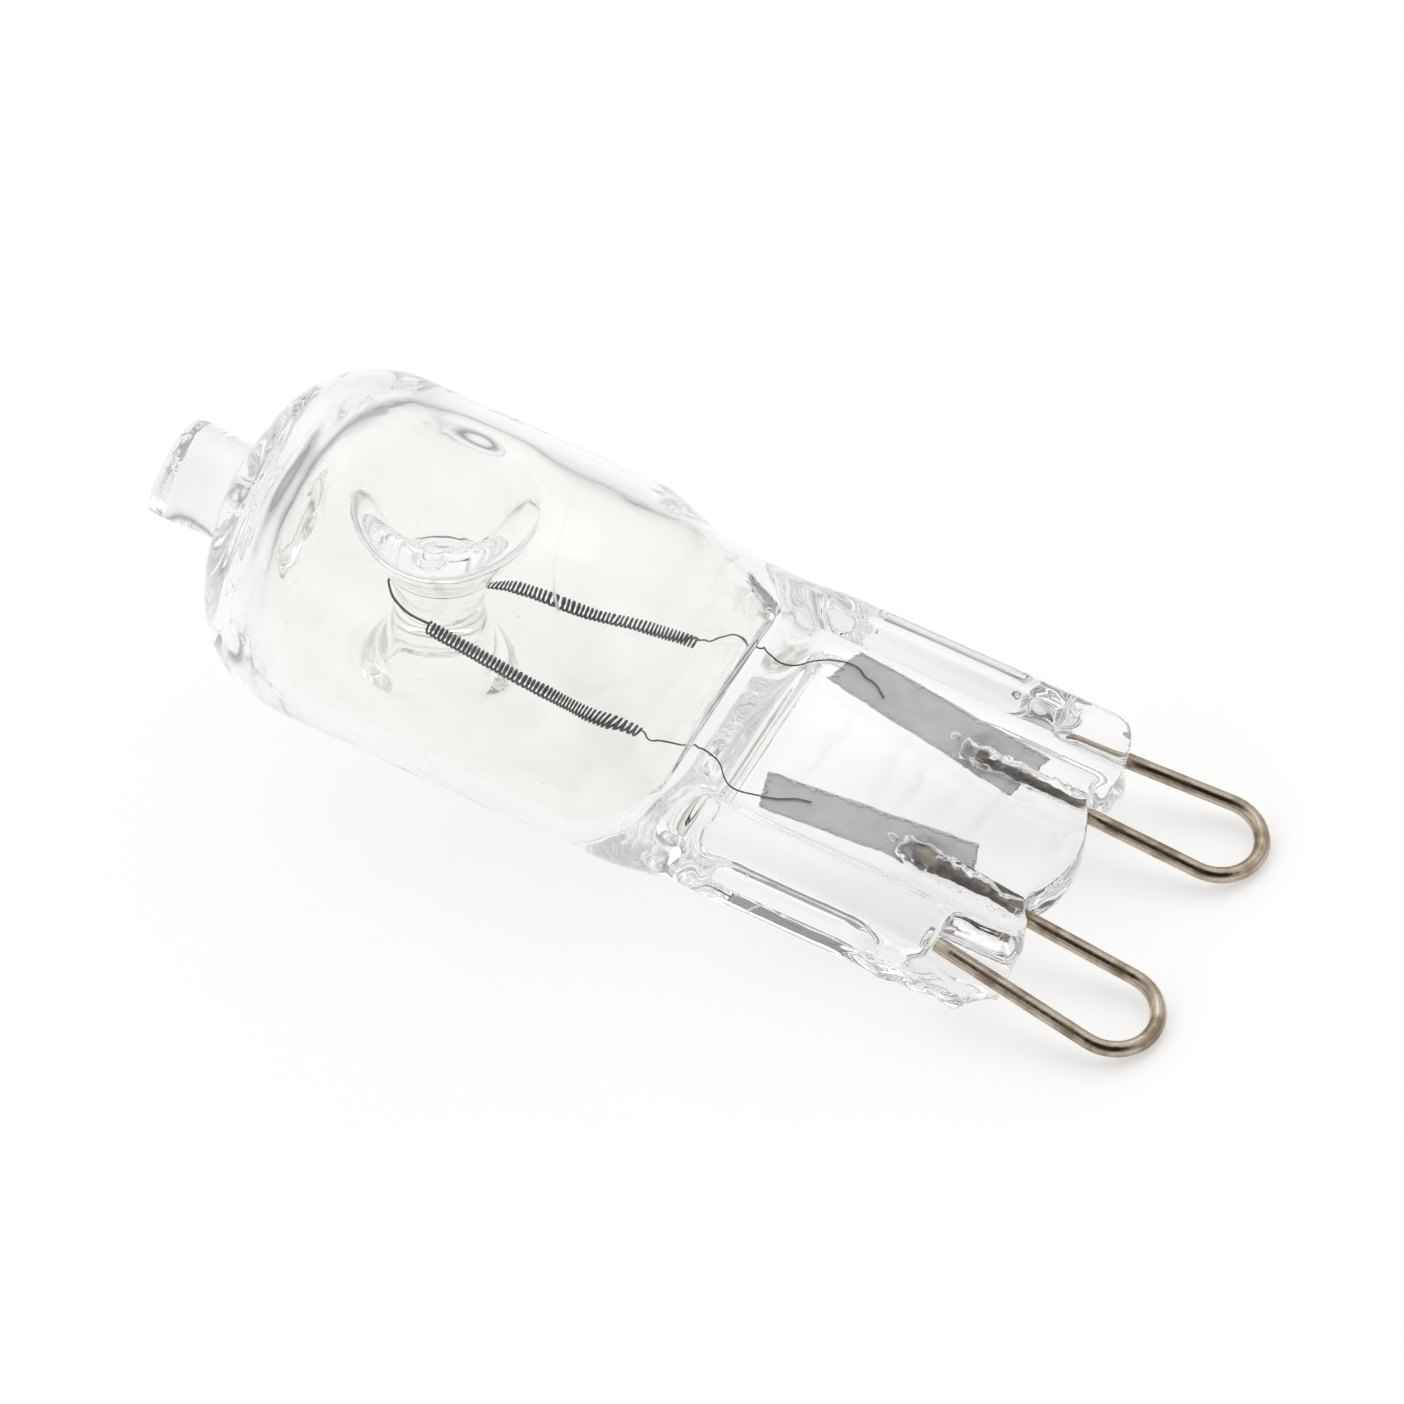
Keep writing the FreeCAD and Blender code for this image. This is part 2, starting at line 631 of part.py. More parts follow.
def pin_loop(name, side, weld_offset, cut_offset):
    """Wire hairpin: embedded leg, round bend and free leg, all in the plane of the foils' welds."""
    body = doc.addObject("PartDesign::Body", name)
    path = body_sketch(body, name + "_path", "XY_Plane")
    # The plane of the hairpin turns about the weld, so the pins end a little lower.
    path.setExpression("AttachmentOffset.Rotation.Axis.y", "1")
    path.setExpression("AttachmentOffset.Rotation.Axis.z", "0")
    path.setExpression("AttachmentOffset.Rotation.Angle", "sizes.loop_droop")
    path.setExpression("AttachmentOffset.Base.x", "(" + weld_position.text + " * (1 - cos(sizes.loop_droop * 1 deg)))")
    path.setExpression("AttachmentOffset.Base.z", "(" + weld_position.text + " * sin(sizes.loop_droop * 1 deg))")
    middle = size("pin_spacing") / 2 * side
    weld = (weld_position, weld_offset * side)
    free = (free_leg_start, cut_offset * side)
    centre = Base.Vector(bend_position.value, middle.value, 0)
    radius = sheet.bend_radius
    weld_end = Base.Vector(weld[0].value, weld[1].value, 0)
    free_end = Base.Vector(free[0].value, free[1].value, 0)
    first = tangent_point(weld_end, centre, radius, side)
    last = tangent_point(free_end, centre, radius, -side)
    embedded = path.addGeometry(Part.LineSegment(weld_end, first), False)
    start, finish = (first, last) if side > 0 else (last, first)
    begin = math.atan2(start.y - centre.y, start.x - centre.x)
    end = math.atan2(finish.y - centre.y, finish.x - centre.x)
    if end <= begin:
        end += 2 * math.pi
    bend = path.addGeometry(
        Part.ArcOfCircle(Part.Circle(centre, Base.Vector(0, 0, 1), radius), begin, end), False)
    loose = path.addGeometry(Part.LineSegment(last, free_end), False)
    near_end, far_end = (1, 2) if side > 0 else (2, 1)
    path.addConstraint(Sketcher.Constraint("Tangent", embedded, 2, bend, near_end))
    path.addConstraint(Sketcher.Constraint("Tangent", bend, far_end, loose, 1))
    number = path.addConstraint(Sketcher.Constraint("Radius", bend, radius))
    path.setExpression("Constraints[%d]" % number, "sizes.bend_radius")
    fix_point(path, bend, 3, bend_position, middle)
    fix_point(path, embedded, 1, *weld)
    fix_point(path, loose, 2, *free)
    ring = body.newObject("Sketcher::SketchObject", name + "_wire")
    ring.AttachmentSupport = [(path, "Edge1")]
    ring.MapMode = "NormalToEdge"
    ring.MapPathParameter = 0.0
    circle = ring.addGeometry(Part.Circle(Base.Vector(0, 0, 0), Base.Vector(0, 0, 1), wire_radius.value), False)
    ring.addConstraint(Sketcher.Constraint("Coincident", circle, 3, -1, 1))
    number = ring.addConstraint(Sketcher.Constraint("Radius", circle, wire_radius.value))
    ring.setExpression("Constraints[%d]" % number, wire_radius.text)
    doc.recompute()
    pipe = body.newObject("PartDesign::AdditivePipe", name + "_hairpin")
    pipe.Profile = ring
    pipe.Spine = (path, ["Edge1", "Edge2", "Edge3"])
    doc.recompute()
    return pressed_flat(body, name, side)


def pressed_flat(body, name, side):
    """Takes the underside off the embedded leg where it sits on its foil."""
    sketch = body_sketch(body, name + "_flat", "XY_Plane", foil_top)
    begin, finish = weld_position - MARGIN, foil_end + wire_radius
    near, far = wire_radius * side, size("pin_spacing") / 2 * side
    trace(sketch, [(begin, near), (finish, near), (finish, far), (begin, far)])
    pocket = body.newObject("PartDesign::Pocket", name + "_underside")
    pocket.Profile = sketch
    bind(pocket, "Length", wire_radius * 2)
    pocket.Reversed = False
    return body


# Filament
def coil_ends(side):
    """Middle of a coil at the post and at the pinch."""
    if side > 0:
        start = Base.Vector(sheet.left_coil_start, sheet.left_coil_inner_offset, 0)
    else:
        start = Base.Vector(sheet.right_coil_start, -sheet.right_coil_inner_offset, sheet.right_coil_lift)
    return start, Base.Vector(sheet.coil_outer_end, sheet.coil_outer_offset * side, 0)


def over_coil(place):
    """The plain wire meets the top turn of a coil."""
    return place + Base.Vector(0, 0, coil_radius.value)


def tail_points(side):
    """Centre line of the plain wire from a coil's end into the seal and along its foil."""
    name = "left" if side > 0 else "right"
    inner = getattr(sheet, name + "_foil_inner_offset") * side
    outer = getattr(sheet, name + "_foil_outer_offset") * side
    share = sheet.tail_on_foil / (foil_end.value - foil_start.value)
    level = tail_level.value
    coil_end = coil_ends(side)[1]
    slack = sheet.tail_slack * side
    return [
        over_coil(coil_end),
        Base.Vector((sheet.coil_outer_end + sheet.cavity_end) / 2, coil_end.y + slack, coil_radius.value),
        Base.Vector(sheet.cavity_end, coil_end.y + slack / 3, level / 2),
        Base.Vector((sheet.cavity_end + foil_start.value) / 2 + slack * side, inner - slack / 2, level),
        Base.Vector(foil_start.value, inner, level),
        Base.Vector(foil_start.value + sheet.tail_on_foil, inner + (outer - inner) * share, level),
    ]


def bridge_points():
    """Centre line of the plain wire that joins the coils round the tip side of the post."""
    start, finish = over_coil(coil_ends(-1)[0]), over_coil(coil_ends(1)[0])
    turns = (250, 215, 180, 145, 110, 75)
    half_step = math.radians(turns[0] - turns[1]) / 2
    touch = (sheet.post_neck_diameter + sheet.filament_wire) / 2 + sheet.bridge_clearance
    reach = touch / math.cos(half_step)
    points = [start]
    for number, degrees in enumerate(turns, start=1):
        angle = math.radians(degrees)
        share = number / (len(turns) + 1)
        points.append(Base.Vector(sheet.post_position + math.cos(angle) * reach,
                                  sheet.post_offset + math.sin(angle) * reach,
                                  start.z + (finish.z - start.z) * share))
    return points + [finish]


def rounded_path(points, radius):
    """Straight runs through the points, joined by arcs that touch both runs."""
    edges, start = [], points[0]
    for before, corner, after in zip(points, points[1:], points[2:]):
        back, ahead = (before - corner).normalize(), (after - corner).normalize()
        half_turn = (math.pi - back.getAngle(ahead)) / 2
        reach = radius * math.tan(half_turn)
        first, last = corner + back * reach, corner + ahead * reach
        inward = (back + ahead).normalize()
        middle = corner + inward * (radius / math.cos(half_turn) - radius)
        edges += [Part.LineSegment(start, first).toShape(), Part.Arc(first, middle, last).toShape()]
        start = last
    edges.append(Part.LineSegment(start, points[-1]).toShape())
    return Part.Wire(edges)


def wire_along(name, points):
    """Tungsten wire, square like the coils', along straight runs and bends."""
    half = sheet.filament_wire / 2
    ahead = (points[1] - points[0]).normalize()
    across = ahead.cross(Base.Vector(0, 0, 1)).normalize() * half
    above = across.cross(ahead).normalize() * half
    corners = [points[0] + across * a + above * b for a, b in ((-1, -1), (1, -1), (1, 1), (-1, 1), (-1, -1))]
    ring = Part.makePolygon(corners)
    wire = doc.addObject("Part::Feature", name)
    wire.Shape = rounded_path(points, sheet.filament_bend).makePipeShell([ring], True, False)
    return wire


def coil(name, start, finish):
    """One filament coil: a helix of tungsten wire between its two ends."""
    length = (finish - start).Length
    helix = doc.addObject("Part::Helix", name + "_path")
    helix.Radius = coil_radius.value
    helix.Height = length
    helix.Pitch = length / sheet.coil_turns
    helix.SegmentLength = 1
    half = sheet.filament_wire / 2
    # The wire's section is a square as wide as the wire, so that the many turns keep few faces.
    ring = doc.addObject("Part::Feature", name + "_section")
    corners = [(-half, -half), (half, -half), (half, half), (-half, half)]
    points = [Base.Vector(coil_radius.value + x, 0, z) for x, z in corners]
    ring.Shape = Part.makePolygon(points + points[:1])
    doc.recompute()
    wire = doc.addObject("Part::Sweep", name)
    wire.Sections = [ring]
    wire.Spine = (helix, [])
    wire.Solid = True
    wire.Frenet = True
    axis = finish - start
    turn = Base.Rotation(Base.Vector(0, 0, 1), axis)
    # The helix starts and ends at the top of the coil, where the plain wire meets it.
    beginning = turn.multVec(Base.Vector(1, 0, 0))
    spin = math.degrees(math.atan2(beginning.cross(Base.Vector(0, 0, 1)).dot(axis) / axis.Length,
                                   beginning.dot(Base.Vector(0, 0, 1))))
    wire.Placement = Base.Placement(start, Base.Rotation(axis, spin).multiply(turn))
    return wire


def knot(name, place):
    """Small bead where the plain wire turns into the coil."""
    bead = doc.addObject("Part::Cylinder", name)
    bind(bead, "Radius", size("filament_wire") * 0.75)
    bind(bead, "Height", size("filament_wire") * 1.5)
    bead.Placement = Base.Placement(place - Base.Vector(0, 0, sheet.filament_wire * 0.75), Base.Rotation())
    return bead


def filament():
    parts = []
    for name, side in (("left", 1), ("right", -1)):
        start, finish = coil_ends(side)
        parts.append(coil(name + "_coil", start, finish))
        parts.append(wire_along(name + "_tail", tail_points(side)))
        parts.append(knot(name + "_knot", over_coil(start)))
        parts.append(knot(name + "_end_knot", over_coil(finish)))
    parts.append(wire_along("bridge_wire", bridge_points()))
    return combined("Part::MultiFuse", "filament", parts)


# Assembly of the glass
def glass():
    outside = combined("Part::MultiFuse", "glass_outside", [blown_outside(), shoulder_outside(), pinch_block()])
    recesses = combined("Part::MultiFuse", "web_recesses", [web_recess("recess_above", 1), web_recess("recess_below", -1)])
    slimmed = cut("pinched_glass", outside, recesses)
    bossed = combined("Part::MultiFuse", "bossed_glass", [slimmed, leg_boss("left_boss", 1), leg_boss("right_boss", -1)])
    space = combined("Part::MultiFuse", "gas_space", [blown_cavity(), shoulder_cavity()])
    room = cut("gas_space_round_post", space, hourglass_post())
    hollow = cut("hollow_glass", bossed, room)
    marks = dimples() + stub_break() + [press_mark()]
    marks += [side_panel("left_panel", half_pinch), side_panel("right_panel", -near_side)]
    marks += [leg_groove("left_groove", 1, size("left_free_leg_offset"), size("groove_ceiling")),
              leg_groove("right_groove", -1, size("right_free_leg_offset"), half_rib)]
    rest = cut("marked_glass", hollow, combined("Part::MultiFuse", "outside_marks", marks))
    seats = [
        foil("left_foil_seat", 1, *LEFT_FOIL),
        foil("right_foil_seat", -1, *RIGHT_FOIL),
        pin_loop("left_loop_seat", 1, *LEFT_LOOP),
        pin_loop("right_loop_seat", -1, *RIGHT_LOOP),
        wire_along("left_tail_seat", tail_points(1)),
        wire_along("right_tail_seat", tail_points(-1)),
    ]
    for number, seat in enumerate(seats, start=1):
        rest = cut("glass_with_%d_seats" % number, rest, seat)
    return rest


LEFT_FOIL = (size("left_foil_inner_offset"), size("left_foil_outer_offset"), size("left_foil_width"),
             size("left_foil_slant"))
RIGHT_FOIL = (size("right_foil_inner_offset"), size("right_foil_outer_offset"), size("right_foil_width"),
              size("right_foil_slant"))
LEFT_LOOP = (size("left_weld_offset"), size("left_free_leg_offset"))
RIGHT_LOOP = (size("right_weld_offset"), size("right_free_leg_offset"))

pieces = {
    "glass_envelope": glass(),
    "filament": filament(),
    "left_foil": foil("left_foil", 1, *LEFT_FOIL),
    "right_foil": foil("right_foil", -1, *RIGHT_FOIL),
    "left_pin_loop": pin_loop("left_pin_loop", 1, *LEFT_LOOP),
    "right_pin_loop": pin_loop("right_pin_loop", -1, *RIGHT_LOOP),
}
doc.recompute()


# Resting place
FINENESS = 0.01


def tipped(points, tilt):
    """Points with the lamp tipped by an angle, pins down."""
    sine, cosine = math.sin(tilt), math.cos(tilt)
    return [(p.x * cosine + p.z * sine, p.z * cosine - p.x * sine) for p in points]


def resting_tilt(points, balance):
    """Angle at which the lamp stands level on both sides of its centre of mass."""
    flat, steep = 0.0, math.radians(40)
    for _ in range(24):
        tilt = (flat + steep) / 2
        middle = tipped([balance], tilt)[0][0]
        places = tipped(points, tilt)
        tip_side = min(z for x, z in places if x < middle)
        pin_side = min(z for x, z in places if x >= middle)
        if pin_side > tip_side:
            flat = tilt
        else:
            steep = tilt
    return (flat + steep) / 2


def balance_point():
    """Centre of mass: the glass and the two wire loops carry nearly all of the weight."""
    total, moment = 0.0, Base.Vector()
    for name, density in (("glass_envelope", 2.2), ("left_pin_loop", 8.9), ("right_pin_loop", 8.9)):
        solid = pieces[name].Shape
        total += solid.Volume * density
        moment += solid.Solids[0].CenterOfMass * (solid.Volume * density)
    return moment * (1.0 / total)


def lay_down():
    """Gives every piece the same placement: tipped, resting at z = 0 and centred over the origin."""
    points = []
    for name in ("glass_envelope", "left_pin_loop", "right_pin_loop"):
        points += pieces[name].Shape.tessellate(FINENESS)[0]
    balance = balance_point()
    tilt = resting_tilt(points, balance)
    places = tipped(points, tilt)
    across = [p.y for p in points]
    along = [x for x, z in places]
    shift = Base.Vector(-(min(along) + max(along)) / 2, -(min(across) + max(across)) / 2,
                        -min(z for x, z in places))
    turn = Base.Rotation(Base.Vector(0, 1, 0), math.degrees(tilt))
    for piece in pieces.values():
        piece.Placement = Base.Placement(shift, turn)
    print("centre of mass %.2f mm from the tip, resting tilt %.2f degrees, shift %.3f %.3f %.3f"
          % (balance.x, math.degrees(tilt), shift.x, shift.y, shift.z))


def check_document():
    """Stops if anything failed, is empty or isn't a valid solid."""
    for item in doc.Objects:
        if "Invalid" in item.State or "Error" in item.State:
            raise RuntimeError("failed: " + item.Label)
    for name, piece in pieces.items():
        shape = piece.Shape
        if shape.isNull() or not shape.isValid() or len(shape.Solids) != 1:
            raise RuntimeError("not one valid solid: " + name)
        print("%-16s volume %9.3f mm3, %d faces" % (name, shape.Volume, len(shape.Faces)))


def write_pieces():
    os.makedirs("parts", exist_ok=True)
    for name, piece in pieces.items():
        piece.Shape.exportStep("parts/" + name + ".step")


for name, piece in pieces.items():
    piece.Label = name
lay_down()
doc.recompute()
check_document()
write_pieces()
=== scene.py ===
# %% [markdown]
# # A halogen capsule bulb, lying on a white table
#
# This lesson dresses a finished CAD model of a small quartz lamp. The lamp is a blown tube of clear
# quartz with a dimpled post through its middle, pinched flat at one end round two metal foils. A coiled
# tungsten filament hangs inside, and two wire hairpins plug into the lampholder.
#
# Clear glass shows only what it bends and mirrors, so most of the work goes into the skins of the glass,
# and into the studio round it: white, dark where the photographer stands and greyer near the table.

# %% Load the CAD model
import json
import math
import bpy
from mathutils import Matrix, Vector, noise


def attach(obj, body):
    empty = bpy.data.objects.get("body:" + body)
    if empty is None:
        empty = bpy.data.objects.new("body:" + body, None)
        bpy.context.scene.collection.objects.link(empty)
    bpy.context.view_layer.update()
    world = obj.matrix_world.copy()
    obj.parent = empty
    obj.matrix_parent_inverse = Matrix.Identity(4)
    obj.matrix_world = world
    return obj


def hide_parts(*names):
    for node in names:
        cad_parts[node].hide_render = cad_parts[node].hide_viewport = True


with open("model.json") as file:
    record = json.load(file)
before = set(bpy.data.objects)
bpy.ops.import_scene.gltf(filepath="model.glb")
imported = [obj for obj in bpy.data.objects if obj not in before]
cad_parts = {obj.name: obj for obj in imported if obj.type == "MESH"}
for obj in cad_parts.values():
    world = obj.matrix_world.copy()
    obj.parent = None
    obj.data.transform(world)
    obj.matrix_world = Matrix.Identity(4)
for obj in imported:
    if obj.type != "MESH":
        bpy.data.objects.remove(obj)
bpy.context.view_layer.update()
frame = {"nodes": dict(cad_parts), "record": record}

nodes = frame["nodes"]
print("CAD nodes:", sorted(nodes))

# %% [markdown]
# ## The lamp's own frame
#
# Blender works in metres, and a lamp of 45 mm is awkward to draw that way. So each piece is drawn in
# millimetres, in a frame where x runs from the sealed tip to the pins, y across the flat pinch and z
# through it. One matrix then lays the piece where the CAD model lies: tipped, on the bulb and on the
# corners of the pinch. The matrix could be typed in, but the record already holds the middle of the rib
# ends and the direction of the axis, and reading them keeps the lesson right if the CAD model changes.

# %% From the lamp's frame to the scene
RIB_END = 38.9
mount = frame["record"]["mounts"][0]
lamp_axis = Vector(mount["axis"])
tilt = math.atan2(-lamp_axis.z, lamp_axis.x)
turned = Matrix.Rotation(tilt, 4, "Y") @ Matrix.Scale(0.001, 4)
lay_down = Matrix.Translation(Vector(mount["pos_m"]) - turned @ Vector((RIB_END, 0, 0))) @ turned
pick_up = lay_down.inverted()
print("the lamp is tipped by %.2f degrees" % math.degrees(tilt))

# %% Selecting, and settling a finished piece
def select_only(*things):
    """Leaves just these objects selected, with the first of them active."""
    bpy.ops.object.select_all(action="DESELECT")
    for thing in things:
        thing.select_set(True)
    bpy.context.view_layer.objects.active = things[0]


def settle(piece, name, replaced):
    """Lays a piece drawn in the lamp's frame into the scene, hangs it under the root empty and hides the CAD
    parts it replaces.
    """
    piece.name = name
    piece.data.name = name
    piece.data.transform(lay_down @ piece.matrix_world)
    piece.matrix_world = Matrix.Identity(4)
    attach(piece, "root")
    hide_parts(*replaced)
    piece.data.calc_loop_triangles()
    print("%s: %d triangles" % (name, len(piece.data.loop_triangles)))
    return piece


# %% [markdown]
# ## Shared patterns
#
# Quartz, foil, tungsten and pin wire all vary over their surface: flow in the glass, rolling marks on the
# foil, oxide on the wire. Each could carry its own noise nodes, but one node group does for all, with the
# grain size and the range that counts as "marked" set anew in each material. A second group marks the
# surroundings of one point, for the scorched welds.
#
# Both read Object coordinates. The finished pieces sit at the origin, so these are metres on the table,
# and a noise scale of 1000 gives grains of about a millimetre.

# %% Group: mottle
def socket(group, name, way, kind, value=None):
    """Adds a named input or output to a node group."""
    made = group.interface.new_socket(name, in_out=way, socket_type=kind)
    if value is not None:
        made.default_value = value


def empty_group(name, inputs, output):
    """A shader node group with float or vector inputs and one float output."""
    group = bpy.data.node_groups.new(name, "ShaderNodeTree")
    for label, value in inputs:
        kind = "NodeSocketVector" if isinstance(value, tuple) else "NodeSocketFloat"
        socket(group, label, "INPUT", kind, value)
    socket(group, output, "OUTPUT", "NodeSocketFloat")
    return group, group.nodes.new("NodeGroupInput"), group.nodes.new("NodeGroupOutput")


mottle, given, result = empty_group(
    "mottle", [("Scale", 400.0), ("Detail", 3.0), ("Low", 0.3), ("High", 0.7)], "Mask")
place = mottle.nodes.new("ShaderNodeTexCoord")
grain = mottle.nodes.new("ShaderNodeTexNoise")
spread = mottle.nodes.new("ShaderNodeMapRange")
mottle.links.new(place.outputs["Object"], grain.inputs["Vector"])
mottle.links.new(given.outputs["Scale"], grain.inputs["Scale"])
mottle.links.new(given.outputs["Detail"], grain.inputs["Detail"])
mottle.links.new(grain.outputs["Fac"], spread.inputs["Value"])
mottle.links.new(given.outputs["Low"], spread.inputs["From Min"])
mottle.links.new(given.outputs["High"], spread.inputs["From Max"])
mottle.links.new(spread.outputs[0], result.inputs["Mask"])
print("group mottle:", len(mottle.nodes), "nodes")

# %% Group: around a point
around, given, result = empty_group(
    "around_a_point", [("Centre", (0.0, 0.0, 0.0)), ("Radius", 0.001)], "Mask")
place = around.nodes.new("ShaderNodeTexCoord")
distance = around.nodes.new("ShaderNodeVectorMath")
distance.operation = "DISTANCE"
fade = around.nodes.new("ShaderNodeMapRange")
fade.interpolation_type = "SMOOTHSTEP"
fade.inputs["From Min"].default_value = 0.0
fade.inputs["To Min"].default_value = 1.0
fade.inputs["To Max"].default_value = 0.0
around.links.new(place.outputs["Object"], distance.inputs[0])
around.links.new(given.outputs["Centre"], distance.inputs[1])
around.links.new(distance.outputs["Value"], fade.inputs["Value"])
around.links.new(given.outputs["Radius"], fade.inputs["From Max"])
around.links.new(fade.outputs[0], result.inputs["Mask"])
print("group around_a_point:", len(around.nodes), "nodes")

# %% [markdown]
# ## Small helpers for materials
#
# A material here is one Principled shader with a few patterns led into it. These helpers keep each
# material short: one places a group, one joins two masks, one blends two colours, one makes relief.

# %% Material helpers
def new_material(name):
    """A node material with its Principled shader."""
    material = bpy.data.materials.new(name)
    material.use_nodes = True
    return material, material.node_tree, material.node_tree.nodes["Principled BSDF"]


def placed(tree, group, **values):
    """Puts a group into a material with its own values, and returns its mask."""
    node = tree.nodes.new("ShaderNodeGroup")
    node.node_tree = group
    for label, value in values.items():
        node.inputs[label].default_value = value
    return node.outputs["Mask"]


def joined(tree, first, second, operation="MAXIMUM"):
    """One mask from two."""
    math_node = tree.nodes.new("ShaderNodeMath")
    math_node.operation = operation
    math_node.use_clamp = True
    for index, source in enumerate((first, second)):
        if isinstance(source, float):
            math_node.inputs[index].default_value = source
        else:
            tree.links.new(source, math_node.inputs[index])
    return math_node.outputs[0]


def blended(tree, mask, first, second):
    """Goes from the first colour to the second as the mask goes from 0 to 1."""
    mix = tree.nodes.new("ShaderNodeMix")
    mix.data_type = "RGBA"
    for index, colour in ((6, first), (7, second)):
        if isinstance(colour, tuple):
            mix.inputs[index].default_value = (*colour, 1)
        else:
            tree.links.new(colour, mix.inputs[index])
    tree.links.new(mask, mix.inputs[0])
    return mix.outputs[2]


def relief(tree, shader, height, depth):
    """Feeds a height into the shader's normal."""
    bump = tree.nodes.new("ShaderNodeBump")
    bump.inputs["Distance"].default_value = depth
    tree.links.new(height, bump.inputs["Height"])
    tree.links.new(bump.outputs["Normal"], shader.inputs["Normal"])


def dress(piece, material):
    """Gives a piece one material."""
    piece.data.materials.clear()
    piece.data.materials.append(material)


# %% [markdown]
# ## Quartz glass
#
# Fused quartz is clearer than window glass and bends light a little less, 1.458. Seen through the gas
# space it looks faintly creamy, while the solid pinch looks colourless, so the skin towards the gas gets
# its own tint and the outer skin is clear. Tinting the whole volume would be another way, but then the
# thick pinch would be the darker part, which is not what the photograph shows.
#
# Real quartz is never quite even: slow flow waves from the torch, and a few hairline scratches from
# handling. The waves are relief. A scratch is a very thin crest of a distorted wave texture, kept only
# in a few patches, and it makes the glass dull there instead of coloured.
#
# Light that reaches the table, or a shadow ray, passes straight through the glass. Cycles could find
# that light as caustics, but only with a great many samples.

# %% Quartz material
def quartz(name, clear, tinted, wave_depth, scratched):
    """Clear quartz with flow waves, and hairlines where it is touched."""
    material, tree, shader = new_material(name)
    shader.inputs["IOR"].default_value = 1.458
    shader.inputs["Transmission Weight"].default_value = 1.0
    shader.inputs["Roughness"].default_value = 0.0
    if scratched:
        spot = tree.nodes.new("ShaderNodeTexCoord")
        hairs = tree.nodes.new("ShaderNodeTexWave")
        hairs.inputs["Scale"].default_value = 55.0
        hairs.inputs["Distortion"].default_value = 9.0
        hairs.inputs["Detail"].default_value = 1.0
        hairs.inputs["Detail Scale"].default_value = 1.4
        crest = tree.nodes.new("ShaderNodeMapRange")
        crest.inputs["From Min"].default_value = 0.9985
        crest.inputs["To Max"].default_value = 0.4
        tree.links.new(spot.outputs["Object"], hairs.inputs["Vector"])
        tree.links.new(hairs.outputs["Fac"], crest.inputs["Value"])
        patches = placed(tree, mottle, Scale=150.0, Detail=1.0, Low=0.52, High=0.6)
        tree.links.new(joined(tree, crest.outputs[0], patches, "MULTIPLY"), shader.inputs["Roughness"])
    cloud = placed(tree, mottle, Scale=130.0, Detail=2.0, Low=0.35, High=0.65)
    milky_tip = placed(tree, around, Centre=tuple(lay_down @ Vector((0.5, 0, 0))), Radius=0.0055)
    flowed = blended(tree, cloud, clear, tinted)
    tree.links.new(blended(tree, milky_tip, flowed, (0.90, 0.90, 0.905)), shader.inputs["Base Color"])
    relief(tree, shader, placed(tree, mottle, Scale=380.0, Detail=2.0, Low=0.0, High=1.0), wave_depth)

    rays = tree.nodes.new("ShaderNodeLightPath")
    open_glass = tree.nodes.new("ShaderNodeBsdfTransparent")
    open_glass.inputs["Color"].default_value = (0.96, 0.96, 0.957, 1)
    choose = tree.nodes.new("ShaderNodeMixShader")
    passing = joined(tree, rays.outputs["Is Shadow Ray"], rays.outputs["Is Diffuse Ray"])
    tree.links.new(passing, choose.inputs["Fac"])
    tree.links.new(shader.outputs[0], choose.inputs[1])
    tree.links.new(open_glass.outputs[0], choose.inputs[2])
    tree.links.new(choose.outputs[0], tree.nodes["Material Output"].inputs["Surface"])
    return material


clear_quartz = quartz("clear_quartz", (0.99, 0.99, 0.99), (0.965, 0.965, 0.963), 0.00003, True)
gas_side_quartz = quartz("gas_side_quartz", (0.98, 0.967, 0.938), (0.992, 0.986, 0.965), 0.00001, False)
print("glass:", clear_quartz.name, gas_side_quartz.name)

# %% [markdown]
# ## Metals
#
# Three metals sit in the glass. The molybdenum foil is rolled thinner than paper and etched, so it is
# matt and grey with a fine mottle, and it is scorched dark where the pin wire is welded to it. Tungsten
# is a darker grey with the faint grooves of wire drawing. The pin wire is plated with nickel that has
# gone brown in patches, and the part that was in the flame, inside the glass, is nearly black. That part
# is known by its place: inward of the rib ends, and less than 4 mm off the lamp's axis, because the free
# legs lie further out.
#
# A plain metal would mirror the studio too evenly, so the foil and the pin wire also vary in roughness,
# and all three metals have a fine relief.

# %% Weld places
WELDS = {"left": Vector((33.7, 2.8, -0.1)), "right": Vector((33.7, -2.35, -0.1))}
weld_spots = {side: tuple(lay_down @ place) for side, place in WELDS.items()}
print("welds:", {side: [round(value, 4) for value in spot] for side, spot in weld_spots.items()})

# %% Molybdenum foil
molybdenum, tree, shader = new_material("molybdenum_foil")
shader.inputs["Metallic"].default_value = 0.2
rolled = placed(tree, mottle, Scale=900.0, Detail=6.0, Low=0.3, High=0.7)
grey = blended(tree, rolled, (0.60, 0.58, 0.60), (0.77, 0.755, 0.765))
scorched = joined(tree, placed(tree, around, Centre=weld_spots["left"], Radius=0.0013),
                  placed(tree, around, Centre=weld_spots["right"], Radius=0.0013))
flecks = placed(tree, mottle, Scale=2100.0, Detail=4.0, Low=0.25, High=0.6)
patchy = joined(tree, scorched, flecks, "MULTIPLY")
tree.links.new(blended(tree, patchy, grey, (0.10, 0.09, 0.09)), shader.inputs["Base Color"])
dull = tree.nodes.new("ShaderNodeMapRange")
dull.inputs["To Min"].default_value = 0.5
dull.inputs["To Max"].default_value = 0.75
tree.links.new(rolled, dull.inputs["Value"])
tree.links.new(dull.outputs[0], shader.inputs["Roughness"])
relief(tree, shader, placed(tree, mottle, Scale=2600.0, Detail=4.0, Low=0.2, High=0.8), 0.00001)
print("foil:", len(tree.nodes), "nodes")

